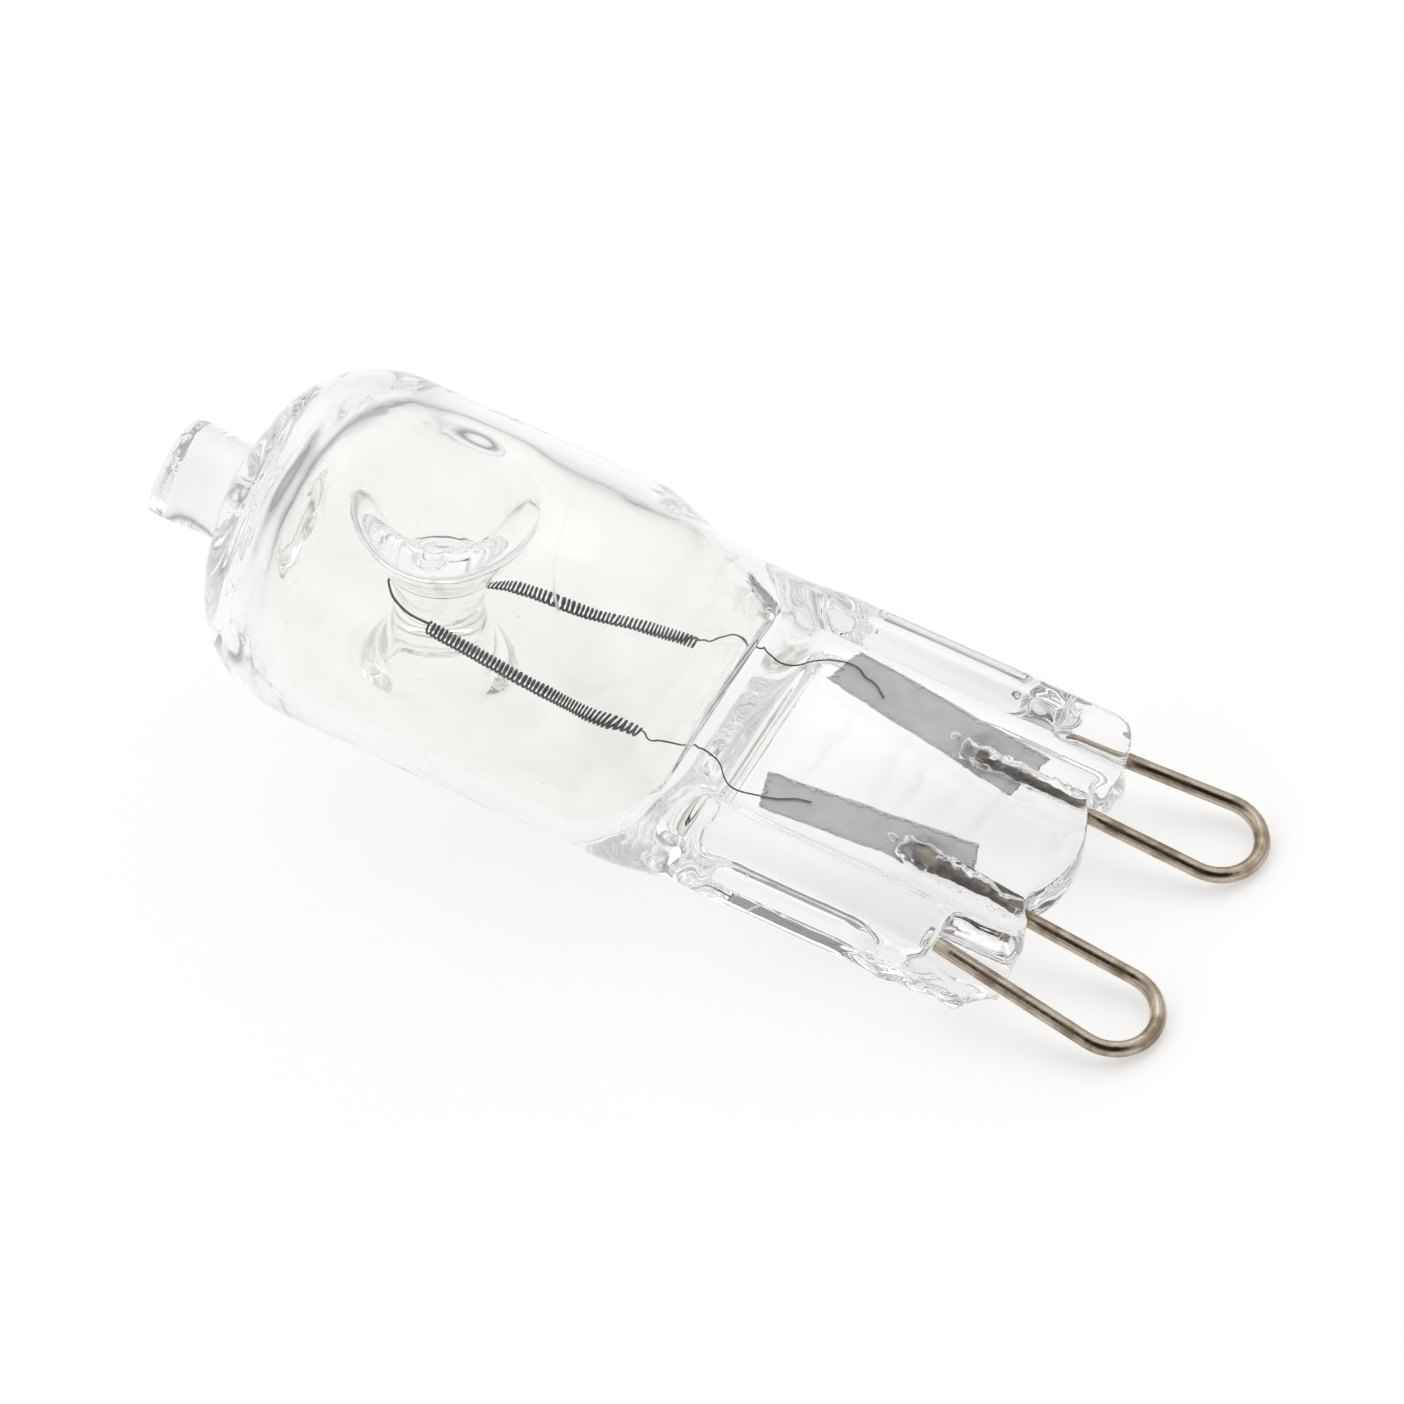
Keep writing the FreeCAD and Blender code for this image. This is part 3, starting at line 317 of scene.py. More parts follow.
# %% Tungsten
tungsten, tree, shader = new_material("tungsten_wire")
shader.inputs["Metallic"].default_value = 1.0
shader.inputs["Roughness"].default_value = 0.38
drawn = placed(tree, mottle, Scale=3000.0, Detail=3.0, Low=0.3, High=0.7)
tree.links.new(blended(tree, drawn, (0.05, 0.05, 0.055), (0.13, 0.13, 0.135)), shader.inputs["Base Color"])
relief(tree, shader, drawn, 0.000004)
print("tungsten:", len(tree.nodes), "nodes")

# %% Pin wire
pin_wire, tree, shader = new_material("nickel_pin_wire")
shader.inputs["Metallic"].default_value = 1.0
brown = placed(tree, mottle, Scale=900.0, Detail=8.0, Low=0.44, High=0.64)
plated = blended(tree, brown, (0.53, 0.46, 0.365), (0.29, 0.22, 0.155))
spot = tree.nodes.new("ShaderNodeTexCoord")
along = tree.nodes.new("ShaderNodeSeparateXYZ")
in_glass = tree.nodes.new("ShaderNodeMapRange")
in_glass.inputs["From Min"].default_value = mount["pos_m"][0] - 0.0002
in_glass.inputs["From Max"].default_value = mount["pos_m"][0] - 0.0012
tree.links.new(spot.outputs["Object"], along.inputs["Vector"])
tree.links.new(along.outputs["X"], in_glass.inputs["Value"])
INNER_LEGS = 0.004
off_axis = joined(tree, along.outputs["Y"], along.outputs["Y"], "MULTIPLY")
near_axis = joined(tree, off_axis, INNER_LEGS ** 2, "LESS_THAN")
embedded = joined(tree, in_glass.outputs[0], near_axis, "MULTIPLY")
soot = placed(tree, mottle, Scale=1500.0, Detail=5.0, Low=0.2, High=0.55)
flamed = joined(tree, embedded, soot, "MULTIPLY")
tree.links.new(blended(tree, flamed, plated, (0.06, 0.05, 0.048)), shader.inputs["Base Color"])
wear = tree.nodes.new("ShaderNodeMapRange")
wear.inputs["To Min"].default_value = 0.14
wear.inputs["To Max"].default_value = 0.34
tree.links.new(brown, wear.inputs["Value"])
tree.links.new(wear.outputs[0], shader.inputs["Roughness"])
relief(tree, shader, placed(tree, mottle, Scale=2400.0, Detail=6.0, Low=0.2, High=0.8), 0.00001)
for name in ("left_pin_loop", "right_pin_loop"):
    dress(nodes[name], pin_wire)
print("pin wire:", len(tree.nodes), "nodes")

# %% [markdown]
# ## The glass envelope
#
# The envelope is one piece of quartz with a hollow in it: the outer skin, with its dimples, ribs and
# broken-off stub, and inside it the closed skin of the gas space. The CAD model has both, exact to a
# hundredth of a millimetre, but with the crisp edges of a drawing, and glass that has been near a flame
# has none. Bevels on that many crossing edges would be slow to set and easy to break.
#
# So the skins are copied and melted: a voxel remesh rebuilds each from small even faces, and a smooth
# modifier relaxes them. Fine even faces also bend light without the streaks that long triangles give.

# %% Copy the two skins
def loose_copy(node, name):
    """A copy of a CAD node's mesh in the lamp's frame, with its corners welded."""
    copy = bpy.data.objects.new(name, node.data.copy())
    bpy.context.scene.collection.objects.link(copy)
    copy.data.transform(pick_up @ node.matrix_world)
    select_only(copy)
    bpy.ops.object.mode_set(mode="EDIT")
    bpy.ops.mesh.select_all(action="SELECT")
    bpy.ops.mesh.remove_doubles(threshold=0.0002)
    bpy.ops.object.mode_set(mode="OBJECT")
    return copy


both_skins = loose_copy(nodes["glass_envelope"], "glass_skins")
select_only(both_skins)
bpy.ops.mesh.separate(type="LOOSE")
outer, inner = sorted(bpy.context.selected_objects, key=lambda skin: skin.dimensions.x, reverse=True)[:2]
print("outer skin %.1f mm long, gas space %.1f mm" % (outer.dimensions.x, inner.dimensions.x))

# %% [markdown]
# ## Filling the seats
#
# In the CAD model the metal sits in exact seats in the glass. The real quartz has flowed against the
# foils, and round the thick legs it has left loose tunnels. So the seats are filled with plain rods and
# slabs that melt into the outer skin, and the tunnels are made as pieces of their own.

# %% Rods and slabs
def add_rod(start, finish, radius, sides=24):
    """A plain cylinder between two points, in the lamp's frame."""
    start, finish = Vector(start), Vector(finish)
    bpy.ops.mesh.primitive_cylinder_add(vertices=sides, radius=radius, depth=(finish - start).length,
                                        location=(start + finish) / 2,
                                        rotation=(finish - start).to_track_quat("Z", "Y").to_euler())
    bpy.ops.object.transform_apply(location=True, rotation=True, scale=True)
    return bpy.context.object


def add_slab(foil):
    """A slab over a foil's seat, a little larger than the foil."""
    corners = [pick_up @ foil.matrix_world @ vertex.co for vertex in foil.data.vertices]
    low = [min(corner[axis] for corner in corners) for axis in range(3)]
    high = [max(corner[axis] for corner in corners) for axis in range(3)]
    lower = [corner.y for corner in corners if corner.x < low[0] + 1.5]
    upper = [corner.y for corner in corners if corner.x > high[0] - 1.5]
    slant = math.atan2((sum(upper) / len(upper) - sum(lower) / len(lower)), high[0] - low[0] - 1.0)
    bpy.ops.mesh.primitive_cube_add(size=1, location=[(low[axis] + high[axis]) / 2 for axis in range(3)])
    slab = bpy.context.object
    slab.scale = (high[0] - low[0] + 0.4, 2.4, 0.7)
    slab.rotation_euler = (0, 0, slant)
    bpy.ops.object.transform_apply(location=True, rotation=True, scale=True)
    return slab


fillers = [add_slab(nodes["left_foil"]), add_slab(nodes["right_foil"]),
           add_rod((33.2, 2.8, 0.0), (38.2, 2.86, -0.25), 0.5),
           add_rod((33.2, -2.35, 0.0), (38.2, -2.86, -0.25), 0.5)]
select_only(outer, *fillers)
bpy.ops.object.join()
print("fillers joined:", len(fillers))

# %% Melt the skins
VOXEL = 0.2


def melted(piece, voxel, rounds):
    """Rebuilds a skin from small even faces and relaxes them, as a flame rounds glass."""
    select_only(piece)
    remesh = piece.modifiers.new("even skin", "REMESH")
    remesh.mode = "VOXEL"
    remesh.voxel_size = voxel
    bpy.ops.object.modifier_apply(modifier=remesh.name)
    relax = piece.modifiers.new("flame polish", "SMOOTH")
    relax.factor = 0.5
    relax.iterations = rounds
    bpy.ops.object.modifier_apply(modifier=relax.name)
    bpy.ops.object.shade_smooth()


def largest_part(piece):
    """Drops the crumbs that a remesh leaves behind."""
    select_only(piece)
    bpy.ops.mesh.separate(type="LOOSE")
    parts = sorted(bpy.context.selected_objects, key=lambda part: len(part.data.polygons), reverse=True)
    for crumb in parts[1:]:
        bpy.data.objects.remove(crumb)
    return parts[0]


def polished(piece, softness, rounds):
    """Smooths a skin more where the flame was longest; softness gives 0 to 1 for a place."""
    zone = piece.vertex_groups.new(name="flame")
    for vertex in piece.data.vertices:
        share = softness(vertex.co)
        if share > 0:
            zone.add([vertex.index], share, "REPLACE")
    select_only(piece)
    relax = piece.modifiers.new("long flame", "SMOOTH")
    relax.factor = 0.5
    relax.iterations = rounds
    relax.vertex_group = zone.name
    bpy.ops.object.modifier_apply(modifier=relax.name)
    piece.vertex_groups.clear()


def between(value, start, finish):
    """0 before start, 1 after finish, smooth between."""
    share = min(max((value - start) / (finish - start), 0.0), 1.0)
    return share * share * (3 - 2 * share)


POST = Vector((12.3, -0.2, 0))


def long_flame(place):
    """The dimples' lips, the shoulder's two fins and the tip were in the flame longest."""
    off_post = math.hypot(place.x - POST.x, place.y - POST.y)
    lips = (1 - between(off_post, 3.8, 5.4)) * between(abs(place.z), 1.2, 2.2)
    shoulder = between(place.x, 20.5, 22.5) * (1 - between(place.x, 25.6, 27.0))
    fins = shoulder * between(abs(place.y), 3.8, 5.0)
    tip = 0.5 * (1 - between(place.x, 3.2, 4.6))
    return max(lips, fins, tip)


SHORT_FLAME, LONG_FLAME = 12, 45
for skin in (outer, inner):
    melted(skin, VOXEL, SHORT_FLAME)
outer, inner = largest_part(outer), largest_part(inner)
for skin in (outer, inner):
    polished(skin, long_flame, LONG_FLAME)
dress(outer, clear_quartz)
dress(inner, gas_side_quartz)
print("skins:", len(outer.data.polygons), "and", len(inner.data.polygons), "faces")

# %% [markdown]
# ## Marks of the torch and the jaws
#
# Four marks show how the lamp was made. Where the dome was spun shut on the exhaust tube, the inside
# keeps faint rings. Where the jaws squeezed the pinch, the web keeps low ripples across it, and a press
# pin left an oval dent at its end. And at the end of the near rib, quartz ran out between the jaws and
# froze in lumps, which are held within the reach of the CAD model.
#
# Sculpting would do this by hand. Here each mark is a small push of the skin along its normals, written
# as a height over the lamp's own coordinates, so it comes out the same every time.

# %% Pushing a skin
def pushed(piece, height):
    """Moves each vertex along its normal by a height worked out from its place."""
    moves = [vertex.normal * height(vertex.co) for vertex in piece.data.vertices]
    for vertex, move in zip(piece.data.vertices, moves):
        vertex.co += move
    piece.data.update()


# %% Rings in the dome
def dome_rings(place):
    """Faint broken rings round the axis, inside the dome only."""
    from_axis = math.hypot(place.y, place.z)
    near_dome = 1 - between(place.x, 6.6, 8.6)
    broken = 0.6 + 0.8 * noise.noise(place * 0.55)
    return near_dome * broken * 0.045 * math.sin(from_axis * 7.0 + 1.5 * noise.noise(place * 0.4))


pushed(inner, dome_rings)
print("dome rings on", sum(vertex.co.x < 8.6 for vertex in inner.data.vertices), "vertices")

# %% Ripples and lumps in the pinch
NEAR_LIMIT = -7.0
RIPPLES = ((28.6, 0.10), (31.3, -0.18), (32.2, 0.12), (33.6, 0.32), (35.0, 0.20))


def pinch_marks(place):
    """Ripples across the web, lumps and flow at the near rib, and the oval dent of a press pin."""
    push = 0.0
    if place.x > 26.5 and abs(place.y) < 3.6 and abs(place.z) < 1.5:
        fade = 1 - between(abs(place.y), 1.6, 3.4)
        for start, slant in RIPPLES:
            off = (place.x - start - slant * place.y - 0.35 * noise.noise(place * 0.9)) / 0.22
            push += 0.05 * fade * math.exp(-off * off)
    drawn_out = Vector((place.x * 0.55, place.y * 1.5, place.z * 1.5))
    lumps = between(place.x, 32.2, 34.2) * between(-place.y, 4.9, 5.9) * between(-place.z, -0.5, 0.4)
    if lumps > 0:
        push += lumps * (0.42 * noise.noise(drawn_out) + 0.16 * noise.noise(drawn_out * 2.1) - 0.14)
    flow = between(place.x, 32.6, 34.0) * between(-place.y, 3.2, 4.0) * (1 - between(-place.y, 5.0, 5.6))
    if flow > 0 and place.z > 0.6:
        push += flow * 0.16 * noise.noise(drawn_out * 1.3)
    if place.z > 0.7 and place.x > 37.5:
        oval = math.hypot((place.x - 38.45) / 0.3, place.y / 0.65)
        push -= 0.16 * (1 - between(oval, 0.75, 1.15))
    return push


pushed(outer, pinch_marks)
for vertex in outer.data.vertices:
    vertex.co.y = max(vertex.co.y, NEAR_LIMIT)
print("lowest skin after the lumps: y %.2f" % min(vertex.co.y for vertex in outer.data.vertices))

# %% [markdown]
# ## Tunnels round the legs
#
# Quartz doesn't wet nickel. As the seal cooled, the glass let go of the thick legs and left a crumpled
# gap round each, which shows as a dark silvery tube, since light can't pass a gap at that angle. The gap
# could be faked with a painted colour on the wire, but a real one mirrors the studio as it should.
#
# Each tunnel starts as a rod wider than its wire. It is melted, crumpled with noise and turned inside
# out, so that its wall faces the glass as the wall of a hollow does.

# %% Hollows in the glass
def turned_inside_out(piece):
    """Makes a closed skin the wall of a hollow in the glass."""
    select_only(piece)
    bpy.ops.object.mode_set(mode="EDIT")
    bpy.ops.mesh.select_all(action="SELECT")
    bpy.ops.mesh.flip_normals()
    bpy.ops.object.mode_set(mode="OBJECT")
    return piece


TUNNEL_RADIUS, TUNNEL_VOXEL = 0.47, 0.08


def leg_tunnel(start, finish, seed):
    """The loose, crumpled hollow round an embedded leg."""
    tunnel = add_rod(start, finish, TUNNEL_RADIUS, 32)
    melted(tunnel, TUNNEL_VOXEL, 3)

    def crumple(place):
        shifted = place + Vector((seed, 0, 0))
        near_weld = 1 - between(place.x, 33.8, 35.2)
        return (0.10 + 0.12 * near_weld) * noise.noise(shifted * 2.2) + 0.05 * noise.noise(shifted * 6.0)

    pushed(tunnel, crumple)
    dress(tunnel, clear_quartz)
    return turned_inside_out(tunnel)


tunnels = [leg_tunnel((33.1, 2.8, 0.0), (38.1, 2.85, -0.25), 3.0),
           leg_tunnel((33.1, -2.35, 0.0), (38.1, -2.85, -0.25), 9.0)]
print("tunnels:", [len(tunnel.data.polygons) for tunnel in tunnels])

# %% [markdown]
# ## Bubbles
#
# A few gas bubbles stayed in the glass: a string of them along the near edge where the tube was drawn
# into the rib, two at the root of the stub and one at each weld, and five mere specks in the tube's wall.
# Each is a sphere drawn out by the flow, dented by noise so that no two are alike, and turned inside out
# as the tunnels are.

# %% Bubbles in the quartz
BUBBLES = (
    ((25.1, -6.35, -0.7), 0.11, 2.0), ((25.8, -6.4, -0.75), 0.14, 1.6), ((26.5, -6.45, -0.8), 0.10, 1.7),
    ((27.1, -6.4, -0.7), 0.09, 1.4), ((3.6, 0.9, 0.9), 0.16, 1.3), ((4.1, -0.3, 0.8), 0.14, 1.0),
    ((32.6, 3.05, 0.1), 0.2, 1.2), ((32.65, -2.25, 0.1), 0.2, 1.2),
)
SPECK_RADIUS = 0.045
SPECKS = ((11.4, -0.7, 6.4), (13.2, -2.6, 5.9), (17.3, -3.5, 5.45), (20.2, -6.4, 0.65), (14.5, -5.9, 2.6))


def bubble(place, size, stretch):
    """A small hollow, drawn out along the lamp."""
    bpy.ops.mesh.primitive_ico_sphere_add(subdivisions=3, radius=size, location=place)
    hollow = bpy.context.object
    hollow.scale = (stretch, 1, 1)
    bpy.ops.object.transform_apply(location=True, rotation=True, scale=True)
    pushed(hollow, lambda spot: size * 0.35 * noise.noise(spot * 4.0))
    bpy.ops.object.shade_smooth()
    dress(hollow, clear_quartz)
    return turned_inside_out(hollow)


bubbles = [bubble(*sizes) for sizes in BUBBLES]
bubbles += [bubble(place, SPECK_RADIUS, 1.5) for place in SPECKS]
print("bubbles:", len(bubbles))

# %% One piece of quartz
turned_inside_out(inner)
select_only(outer, inner, *tunnels, *bubbles)
bpy.ops.object.join()
quartz_envelope = settle(outer, "quartz_envelope", ["glass_envelope"])

# %% [markdown]
# ## The foils
#
# Each foil is a strip of molybdenum 0.05 mm thick, or a little less once etched. It is cut askew at its
# ends, and the etching leaves its long sides ragged. The CAD foil gives the place, width and slant. Its
# top face is kept, divided finely, and the rim is nibbled inwards with noise. A Solidify modifier then
# gives it back its thickness. A texture with alpha could draw the rim as well, but real edges hold up
# close and from the side.

# %% Ragged foils
def boundary_of(sheet):
    """The rim vertices of an open sheet."""
    count = {}
    for face in sheet.data.polygons:
        for edge in face.edge_keys:
            count[edge] = count.get(edge, 0) + 1
    return sorted({vertex for edge, uses in count.items() if uses == 1 for vertex in edge})


FOIL_THICKNESS = 0.045


def etched_foil(node, name, seed):
    """A thin sheet over a CAD foil, with nibbled edges."""
    sheet = loose_copy(nodes[node], name)
    bpy.ops.object.mode_set(mode="EDIT")
    bpy.ops.mesh.select_mode(type="FACE")
    bpy.ops.mesh.select_all(action="DESELECT")
    bpy.ops.object.mode_set(mode="OBJECT")
    for face in sheet.data.polygons:
        face.select = face.normal.z < 0.9
    bpy.ops.object.mode_set(mode="EDIT")
    bpy.ops.mesh.delete(type="FACE")
    bpy.ops.mesh.select_mode(type="VERT")
    bpy.ops.mesh.select_all(action="SELECT")
    bpy.ops.mesh.dissolve_limited(angle_limit=0.02)
    bpy.ops.mesh.subdivide(number_cuts=80)
    bpy.ops.object.mode_set(mode="OBJECT")
    points = sheet.data.vertices
    middle = sum((point.co for point in points), Vector()) / len(points)
    for index in boundary_of(sheet):
        point = points[index]
        inward = middle - point.co
        inward.x *= 0.12
        coarse = abs(noise.noise(point.co * 5.0 + Vector((0, 0, seed))))
        rough = coarse + 0.6 * abs(noise.noise(point.co * 13.0))
        point.co += inward.normalized() * rough * 0.4
    for point in points:
        point.co.z += 0.012 * noise.noise(point.co * 1.1)
    thick = sheet.modifiers.new("foil thickness", "SOLIDIFY")
    thick.thickness = FOIL_THICKNESS
    thick.offset = -1
    select_only(sheet)
    bpy.ops.object.modifier_apply(modifier=thick.name)
    dress(sheet, molybdenum)
    return settle(sheet, name, [node])


left_etched_foil = etched_foil("left_foil", "left_etched_foil", 2.0)
right_etched_foil = etched_foil("right_foil", "right_etched_foil", 7.0)

# %% [markdown]
# ## The filament
#
# The filament is one wire 0.1 mm thick: a kinked tail on each foil, two long coils, and a plain bridge
# that hooks round the glass post so that the hot coils can't sag. The CAD model has fewer turns, of square
# wire, because a kernel pays dearly for every helix. Here a coil is one ring of eight points carried round
# by the Screw modifier, which is exact, cheap and regular, as a coil wound on a mandrel is.

# %% Two coils
COIL_RADIUS, WIRE = 0.225, 0.1
COILS = {
    "left": (Vector((13.5, 1.3, 0)), Vector((22.35, 2.1, 0.02)), 48),
    "right": (Vector((12.85, -2.1, 0.25)), Vector((22.2, -2.9, 0.0)), 51),
}


def wound_coil(start, finish, turns):
    """A helix of tungsten wire made by the Screw modifier from one ring."""
    bpy.ops.mesh.primitive_circle_add(vertices=8, radius=WIRE / 2, location=(COIL_RADIUS, 0, 0),
                                      rotation=(math.radians(90), 0, 0))
    ring = bpy.context.object
    bpy.ops.object.transform_apply(location=True, rotation=True, scale=True)
    screw = ring.modifiers.new("winding", "SCREW")
    screw.axis = "Z"
    screw.angle = math.tau
    screw.screw_offset = (finish - start).length / turns
    screw.iterations = turns
    screw.steps = screw.render_steps = 20
    screw.use_merge_vertices = True
    bpy.ops.object.modifier_apply(modifier=screw.name)
    bpy.ops.object.mode_set(mode="EDIT")
    bpy.ops.mesh.select_all(action="SELECT")
    bpy.ops.mesh.normals_make_consistent(inside=False)
    bpy.ops.object.mode_set(mode="OBJECT")
    aimed = (finish - start).to_track_quat("Z", "Y").to_matrix().to_4x4()
    ring.matrix_world = Matrix.Translation(start) @ aimed
    bpy.ops.object.transform_apply(location=True, rotation=True, scale=True)
    bpy.ops.object.shade_smooth()
    return ring


coils = [wound_coil(*COILS["left"]), wound_coil(*COILS["right"])]
for vertex in coils[0].data.vertices:
    # The left coil's last turns were pulled askew when its tail was bent over.
    vertex.co.x += between(vertex.co.x, 21.6, 22.4) * 0.4 * vertex.co.z
print("coils:", [len(coil.data.vertices) for coil in coils], "vertices")

# %% [markdown]
# ## Bridge and tails
#
# The plain wire between the coils and on to the foils follows a few points read from the photograph. It
# is a Bezier curve with a round bevel, which stays one smooth line of even thickness, and it becomes a
# mesh so that the whole filament can be joined into the one wire that it is. The tails keep the small
# kinks that tweezers left in them, and are drawn a little thinner than the coils.
#
# HUG is how far the bridge keeps from the post's axis, and LEVEL the height of the tails at the foils.

# %% Plain wire
def drawn_wire(points, radius):
    """A round wire along a smooth line through its points."""
    bpy.ops.curve.primitive_bezier_curve_add(location=(0, 0, 0))
    wire = bpy.context.object
    line = wire.data
    line.splines.clear()
    spline = line.splines.new("BEZIER")
    spline.bezier_points.add(len(points) - 1)
    for knot, point in zip(spline.bezier_points, points):
        knot.co = point
        knot.handle_left_type = knot.handle_right_type = "AUTO"
    line.dimensions = "3D"
    line.resolution_u = 10
    line.bevel_depth = radius
    line.bevel_resolution = 3
    line.use_fill_caps = True
    select_only(wire)
    bpy.ops.object.convert(target="MESH")
    bpy.ops.object.shade_smooth()
    return bpy.context.object


HUG = 1.88
over = Vector((0, 0, COIL_RADIUS))
bridge = [COILS["right"][0] + over]
for step, degrees in enumerate((250, 215, 180, 145, 110, 75)):
    angle = math.radians(degrees)
    bridge.append(POST + Vector((math.cos(angle) * HUG, math.sin(angle) * HUG, 0.45 - 0.04 * step)))
bridge.append(COILS["left"][0] + over)
LEVEL = -0.17
left_tail = [COILS["left"][1] + over, (22.6, 2.2, 0.3), (22.8, 2.4, 0.05), (23.1, 2.8, 0.08),
             (23.5, 3.2, -0.02), (24.25, 2.8, -0.1), (24.6, 2.85, -0.15), (25.1, 3.05, LEVEL),
             (26.2, 3.68, LEVEL), (27.5, 4.22, LEVEL), (27.9, 4.2, LEVEL), (28.4, 3.92, LEVEL),
             (28.65, 3.9, LEVEL), (29.4, 3.42, LEVEL)]
right_tail = [COILS["right"][1] + over, (22.4, -2.95, 0.3), (22.65, -3.05, 0.05), (23.05, -2.85, 0.08),
              (23.7, -2.6, 0.0), (24.4, -2.4, -0.05), (24.7, -2.45, -0.1), (25.3, -2.85, -0.15),
              (26.3, -3.15, LEVEL), (27.3, -2.98, LEVEL), (28.1, -2.72, LEVEL), (28.3, -2.6, LEVEL),
              (28.6, -2.43, LEVEL), (29.23, -2.25, LEVEL)]
TAIL_RADIUS = WIRE * 0.38
wires = [drawn_wire(bridge, WIRE / 2)]
wires += [drawn_wire(tail, TAIL_RADIUS) for tail in (left_tail, right_tail)]
select_only(*coils, *wires)
bpy.ops.object.join()
dress(bpy.context.object, tungsten)
coiled_filament = settle(bpy.context.object, "coiled_filament", ["filament"])

# %% [markdown]
# ## The camera
#
# The photograph was taken from above the lamp's near side, a little towards the pins, with a long lens.
# The numbers were fitted so that the loops, the tube, the stub and the pinch of the model fall on those
# of the picture. The camera could be placed by eye, but a fitted one lets every later difference be read
# as a difference in shape.
#
# The distance is in millimetres. The focal length and the frame are in pixels of the picture, and so is
# AIM, where the point AIMED_AT falls in it.

# %% Where the photographer stood
HEADING, HEIGHT, ROLL = math.radians(24.173), math.radians(53.564), math.radians(-4.492)
DISTANCE, FOCAL, FRAME = 292.389, 7734.95, 1404
AIM, AIMED_AT = (715.486, 709.756), Vector((24, 0, 0))
level = Vector((math.cos(HEADING), math.sin(HEADING), 0))
onward = Vector((-math.sin(HEADING), math.cos(HEADING), 0))
forward = onward * math.cos(HEIGHT) - Vector((0, 0, math.sin(HEIGHT)))
down = forward.cross(level)
right = level * math.cos(ROLL) + down * math.sin(ROLL)
down = down * math.cos(ROLL) - level * math.sin(ROLL)
sideways = right * ((AIM[0] - FRAME / 2) / FOCAL) + down * ((AIM[1] - FRAME / 2) / FOCAL)
eye = AIMED_AT - (sideways + forward) * DISTANCE
photographer = (lay_down @ eye).normalized()
print("the photographer stands towards", [round(value, 3) for value in photographer])

# %% The camera itself
facing = Matrix((right, -down, -forward)).transposed().to_4x4()
bpy.ops.object.camera_add()
camera = bpy.context.object
tipped = lay_down.to_quaternion().to_matrix().to_4x4()
camera.matrix_world = Matrix.Translation(lay_down @ eye) @ tipped @ facing
camera.data.sensor_width = 36.0
camera.data.lens = FOCAL / FRAME * 36.0
camera.data.clip_start = 0.01
bpy.context.scene.camera = camera
print("lens %.0f mm" % camera.data.lens)

# %% [markdown]
# ## The table
#
# The lamp lies on plain white paper. To look white in the picture without pouring more light on the
# lamp, the paper adds a little of its own brightness, but only for rays that come from the camera,
# through glass or off a gloss. For the last two the glow fades with distance, as if the sheet came to an
# end, which gives the glass something darker to draw its outline with. Light that falls on the paper
# still makes an ordinary soft shadow.

# %% White paper
bpy.ops.mesh.primitive_plane_add(size=2.0, location=(0, 0, 0))
table = bpy.context.object
table.name = "table"


def seen(tree):
    """1 for rays from the camera, fading with distance for rays through glass or off gloss, else 0."""
    rays = tree.nodes.new("ShaderNodeLightPath")
    mirrored = joined(tree, rays.outputs["Is Transmission Ray"], rays.outputs["Is Glossy Ray"])
    near_lamp = placed(tree, around, Centre=(0.0, 0.0, 0.0), Radius=0.2)
    return joined(tree, rays.outputs["Is Camera Ray"], joined(tree, mirrored, near_lamp, "MULTIPLY"))


PAPER_GLOW = 0.43
paper, tree, shader = new_material("white_paper")
fibres = placed(tree, mottle, Scale=90.0, Detail=6.0, Low=0.3, High=0.7)
tree.links.new(blended(tree, fibres, (0.82, 0.82, 0.82), (0.835, 0.835, 0.835)), shader.inputs["Base Color"])
shader.inputs["Roughness"].default_value = 1.0
shader.inputs["Specular IOR Level"].default_value = 0.0
shader.inputs["Emission Color"].default_value = (1, 1, 1, 1)
tree.links.new(joined(tree, seen(tree), PAPER_GLOW, "MULTIPLY"), shader.inputs["Emission Strength"])
dress(table, paper)
print("table ready")

# %% [markdown]
# ## The studio
#
# A product table is a white tent with one opening, where the photographer stands in the dark. Polished
# wire mirrors that opening as a dark band down its middle, and without it wire in a white tent looks like
# plaster. Glass shows it as thin grey lines wherever it bends light far enough round.
#
# So the world is white with a soft dark patch towards the camera's place. The patch is part of the
# studio and stays there when the lamp is looked at from elsewhere. Through glass it is much paler,
# because a real tent's cloth and the photographer's white shirt throw light back into it.
#
# The cloth also gets darker towards the table, where it hangs in its own shade. At its rim a glass tube
# bends the sight line down there, and that alone draws the grey outline of clear glass on white. A line
# could be painted round the tube instead, but it would be wrong from every other side.

# %% World
world = bpy.data.worlds.new("studio")
bpy.context.scene.world = world
world.use_nodes = True
tree = world.node_tree
background = tree.nodes["Background"]
sight = tree.nodes.new("ShaderNodeTexCoord")
toward = tree.nodes.new("ShaderNodeVectorMath")
toward.operation = "DOT_PRODUCT"
toward.inputs[1].default_value = photographer
tree.links.new(sight.outputs["Generated"], toward.inputs[0])


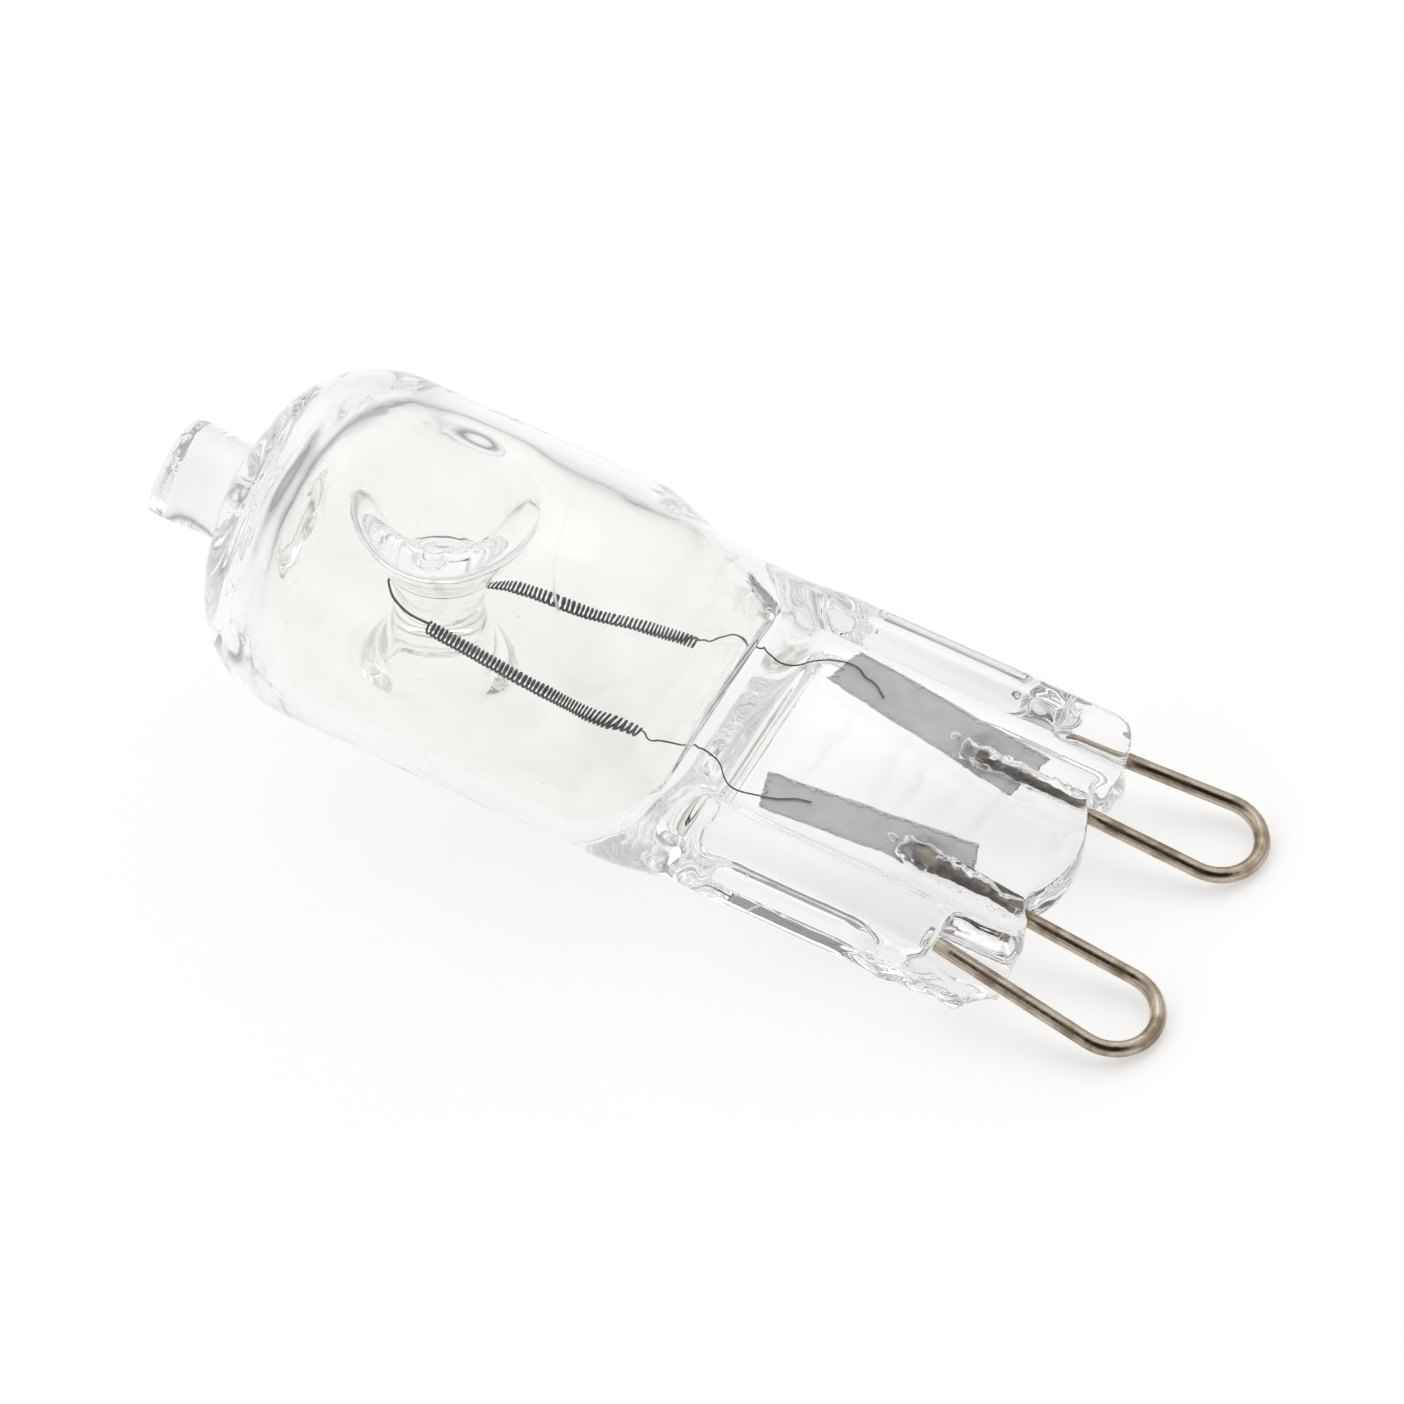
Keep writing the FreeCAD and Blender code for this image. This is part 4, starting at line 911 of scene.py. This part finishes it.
def opening(darkest, start, finish):
    """White, fading to the darkest colour towards the photographer."""
    ramp = tree.nodes.new("ShaderNodeValToRGB")
    ramp.color_ramp.interpolation = "EASE"
    ramp.color_ramp.elements[0].position = start
    ramp.color_ramp.elements[0].color = (1, 1, 1, 1)
    ramp.color_ramp.elements[1].position = finish
    ramp.color_ramp.elements[1].color = (*darkest, 1)
    tree.links.new(toward.outputs["Value"], ramp.inputs["Fac"])
    return ramp.outputs["Color"]


rays = tree.nodes.new("ShaderNodeLightPath")
height = tree.nodes.new("ShaderNodeSeparateXYZ")
above = tree.nodes.new("ShaderNodeMapRange")
above.interpolation_type = "SMOOTHSTEP"
above.inputs["From Max"].default_value = 0.45
tree.links.new(sight.outputs["Generated"], height.inputs["Vector"])
tree.links.new(height.outputs["Z"], above.inputs["Value"])
cloth = blended(tree, rays.outputs["Is Transmission Ray"],
               opening((0.035, 0.03, 0.027), 0.64, 0.93), opening((0.52, 0.52, 0.51), 0.75, 0.98))
tent = blended(tree, above.outputs[0], (0.42, 0.41, 0.395), cloth)
studio = blended(tree, rays.outputs["Is Camera Ray"], tent, (1.0, 1.0, 1.0))
tree.links.new(studio, background.inputs["Color"])
strength = tree.nodes.new("ShaderNodeMapRange")
strength.inputs["To Min"].default_value = 0.92
strength.inputs["To Max"].default_value = 1.0
tree.links.new(rays.outputs["Is Camera Ray"], strength.inputs["Value"])
tree.links.new(strength.outputs[0], background.inputs["Strength"])
print("world:", len(tree.nodes), "nodes")

# %% Softbox
def softbox(name, place, aim, size, power):
    """A soft square lamp that points at the object."""
    bpy.ops.object.light_add(type="AREA", location=place)
    lamp = bpy.context.object
    lamp.name = name
    lamp.data.shape = "SQUARE"
    lamp.data.size = size
    lamp.data.energy = power
    lamp.rotation_euler = (Vector(aim) - Vector(place)).to_track_quat("-Z", "Y").to_euler()
    return lamp


softbox("big_overhead", (-0.10, 0.25, 0.45), (0, 0, 0), 0.30, 0.2)

# %% [markdown]
# ## Render settings
#
# Colours are shown as they are, so the view transform is Standard. A ray that enters the pinch may be
# mirrored inside it many times before it finds a way out. Cut off early it would leave a black speck,
# so the glass gets a generous number of bounces.

# %% Bounces and view
scene = bpy.context.scene
scene.view_settings.view_transform = "Standard"
scene.cycles.max_bounces = 80
scene.cycles.transmission_bounces = 50
scene.cycles.glossy_bounces = 50
print("bounces:", scene.cycles.max_bounces)
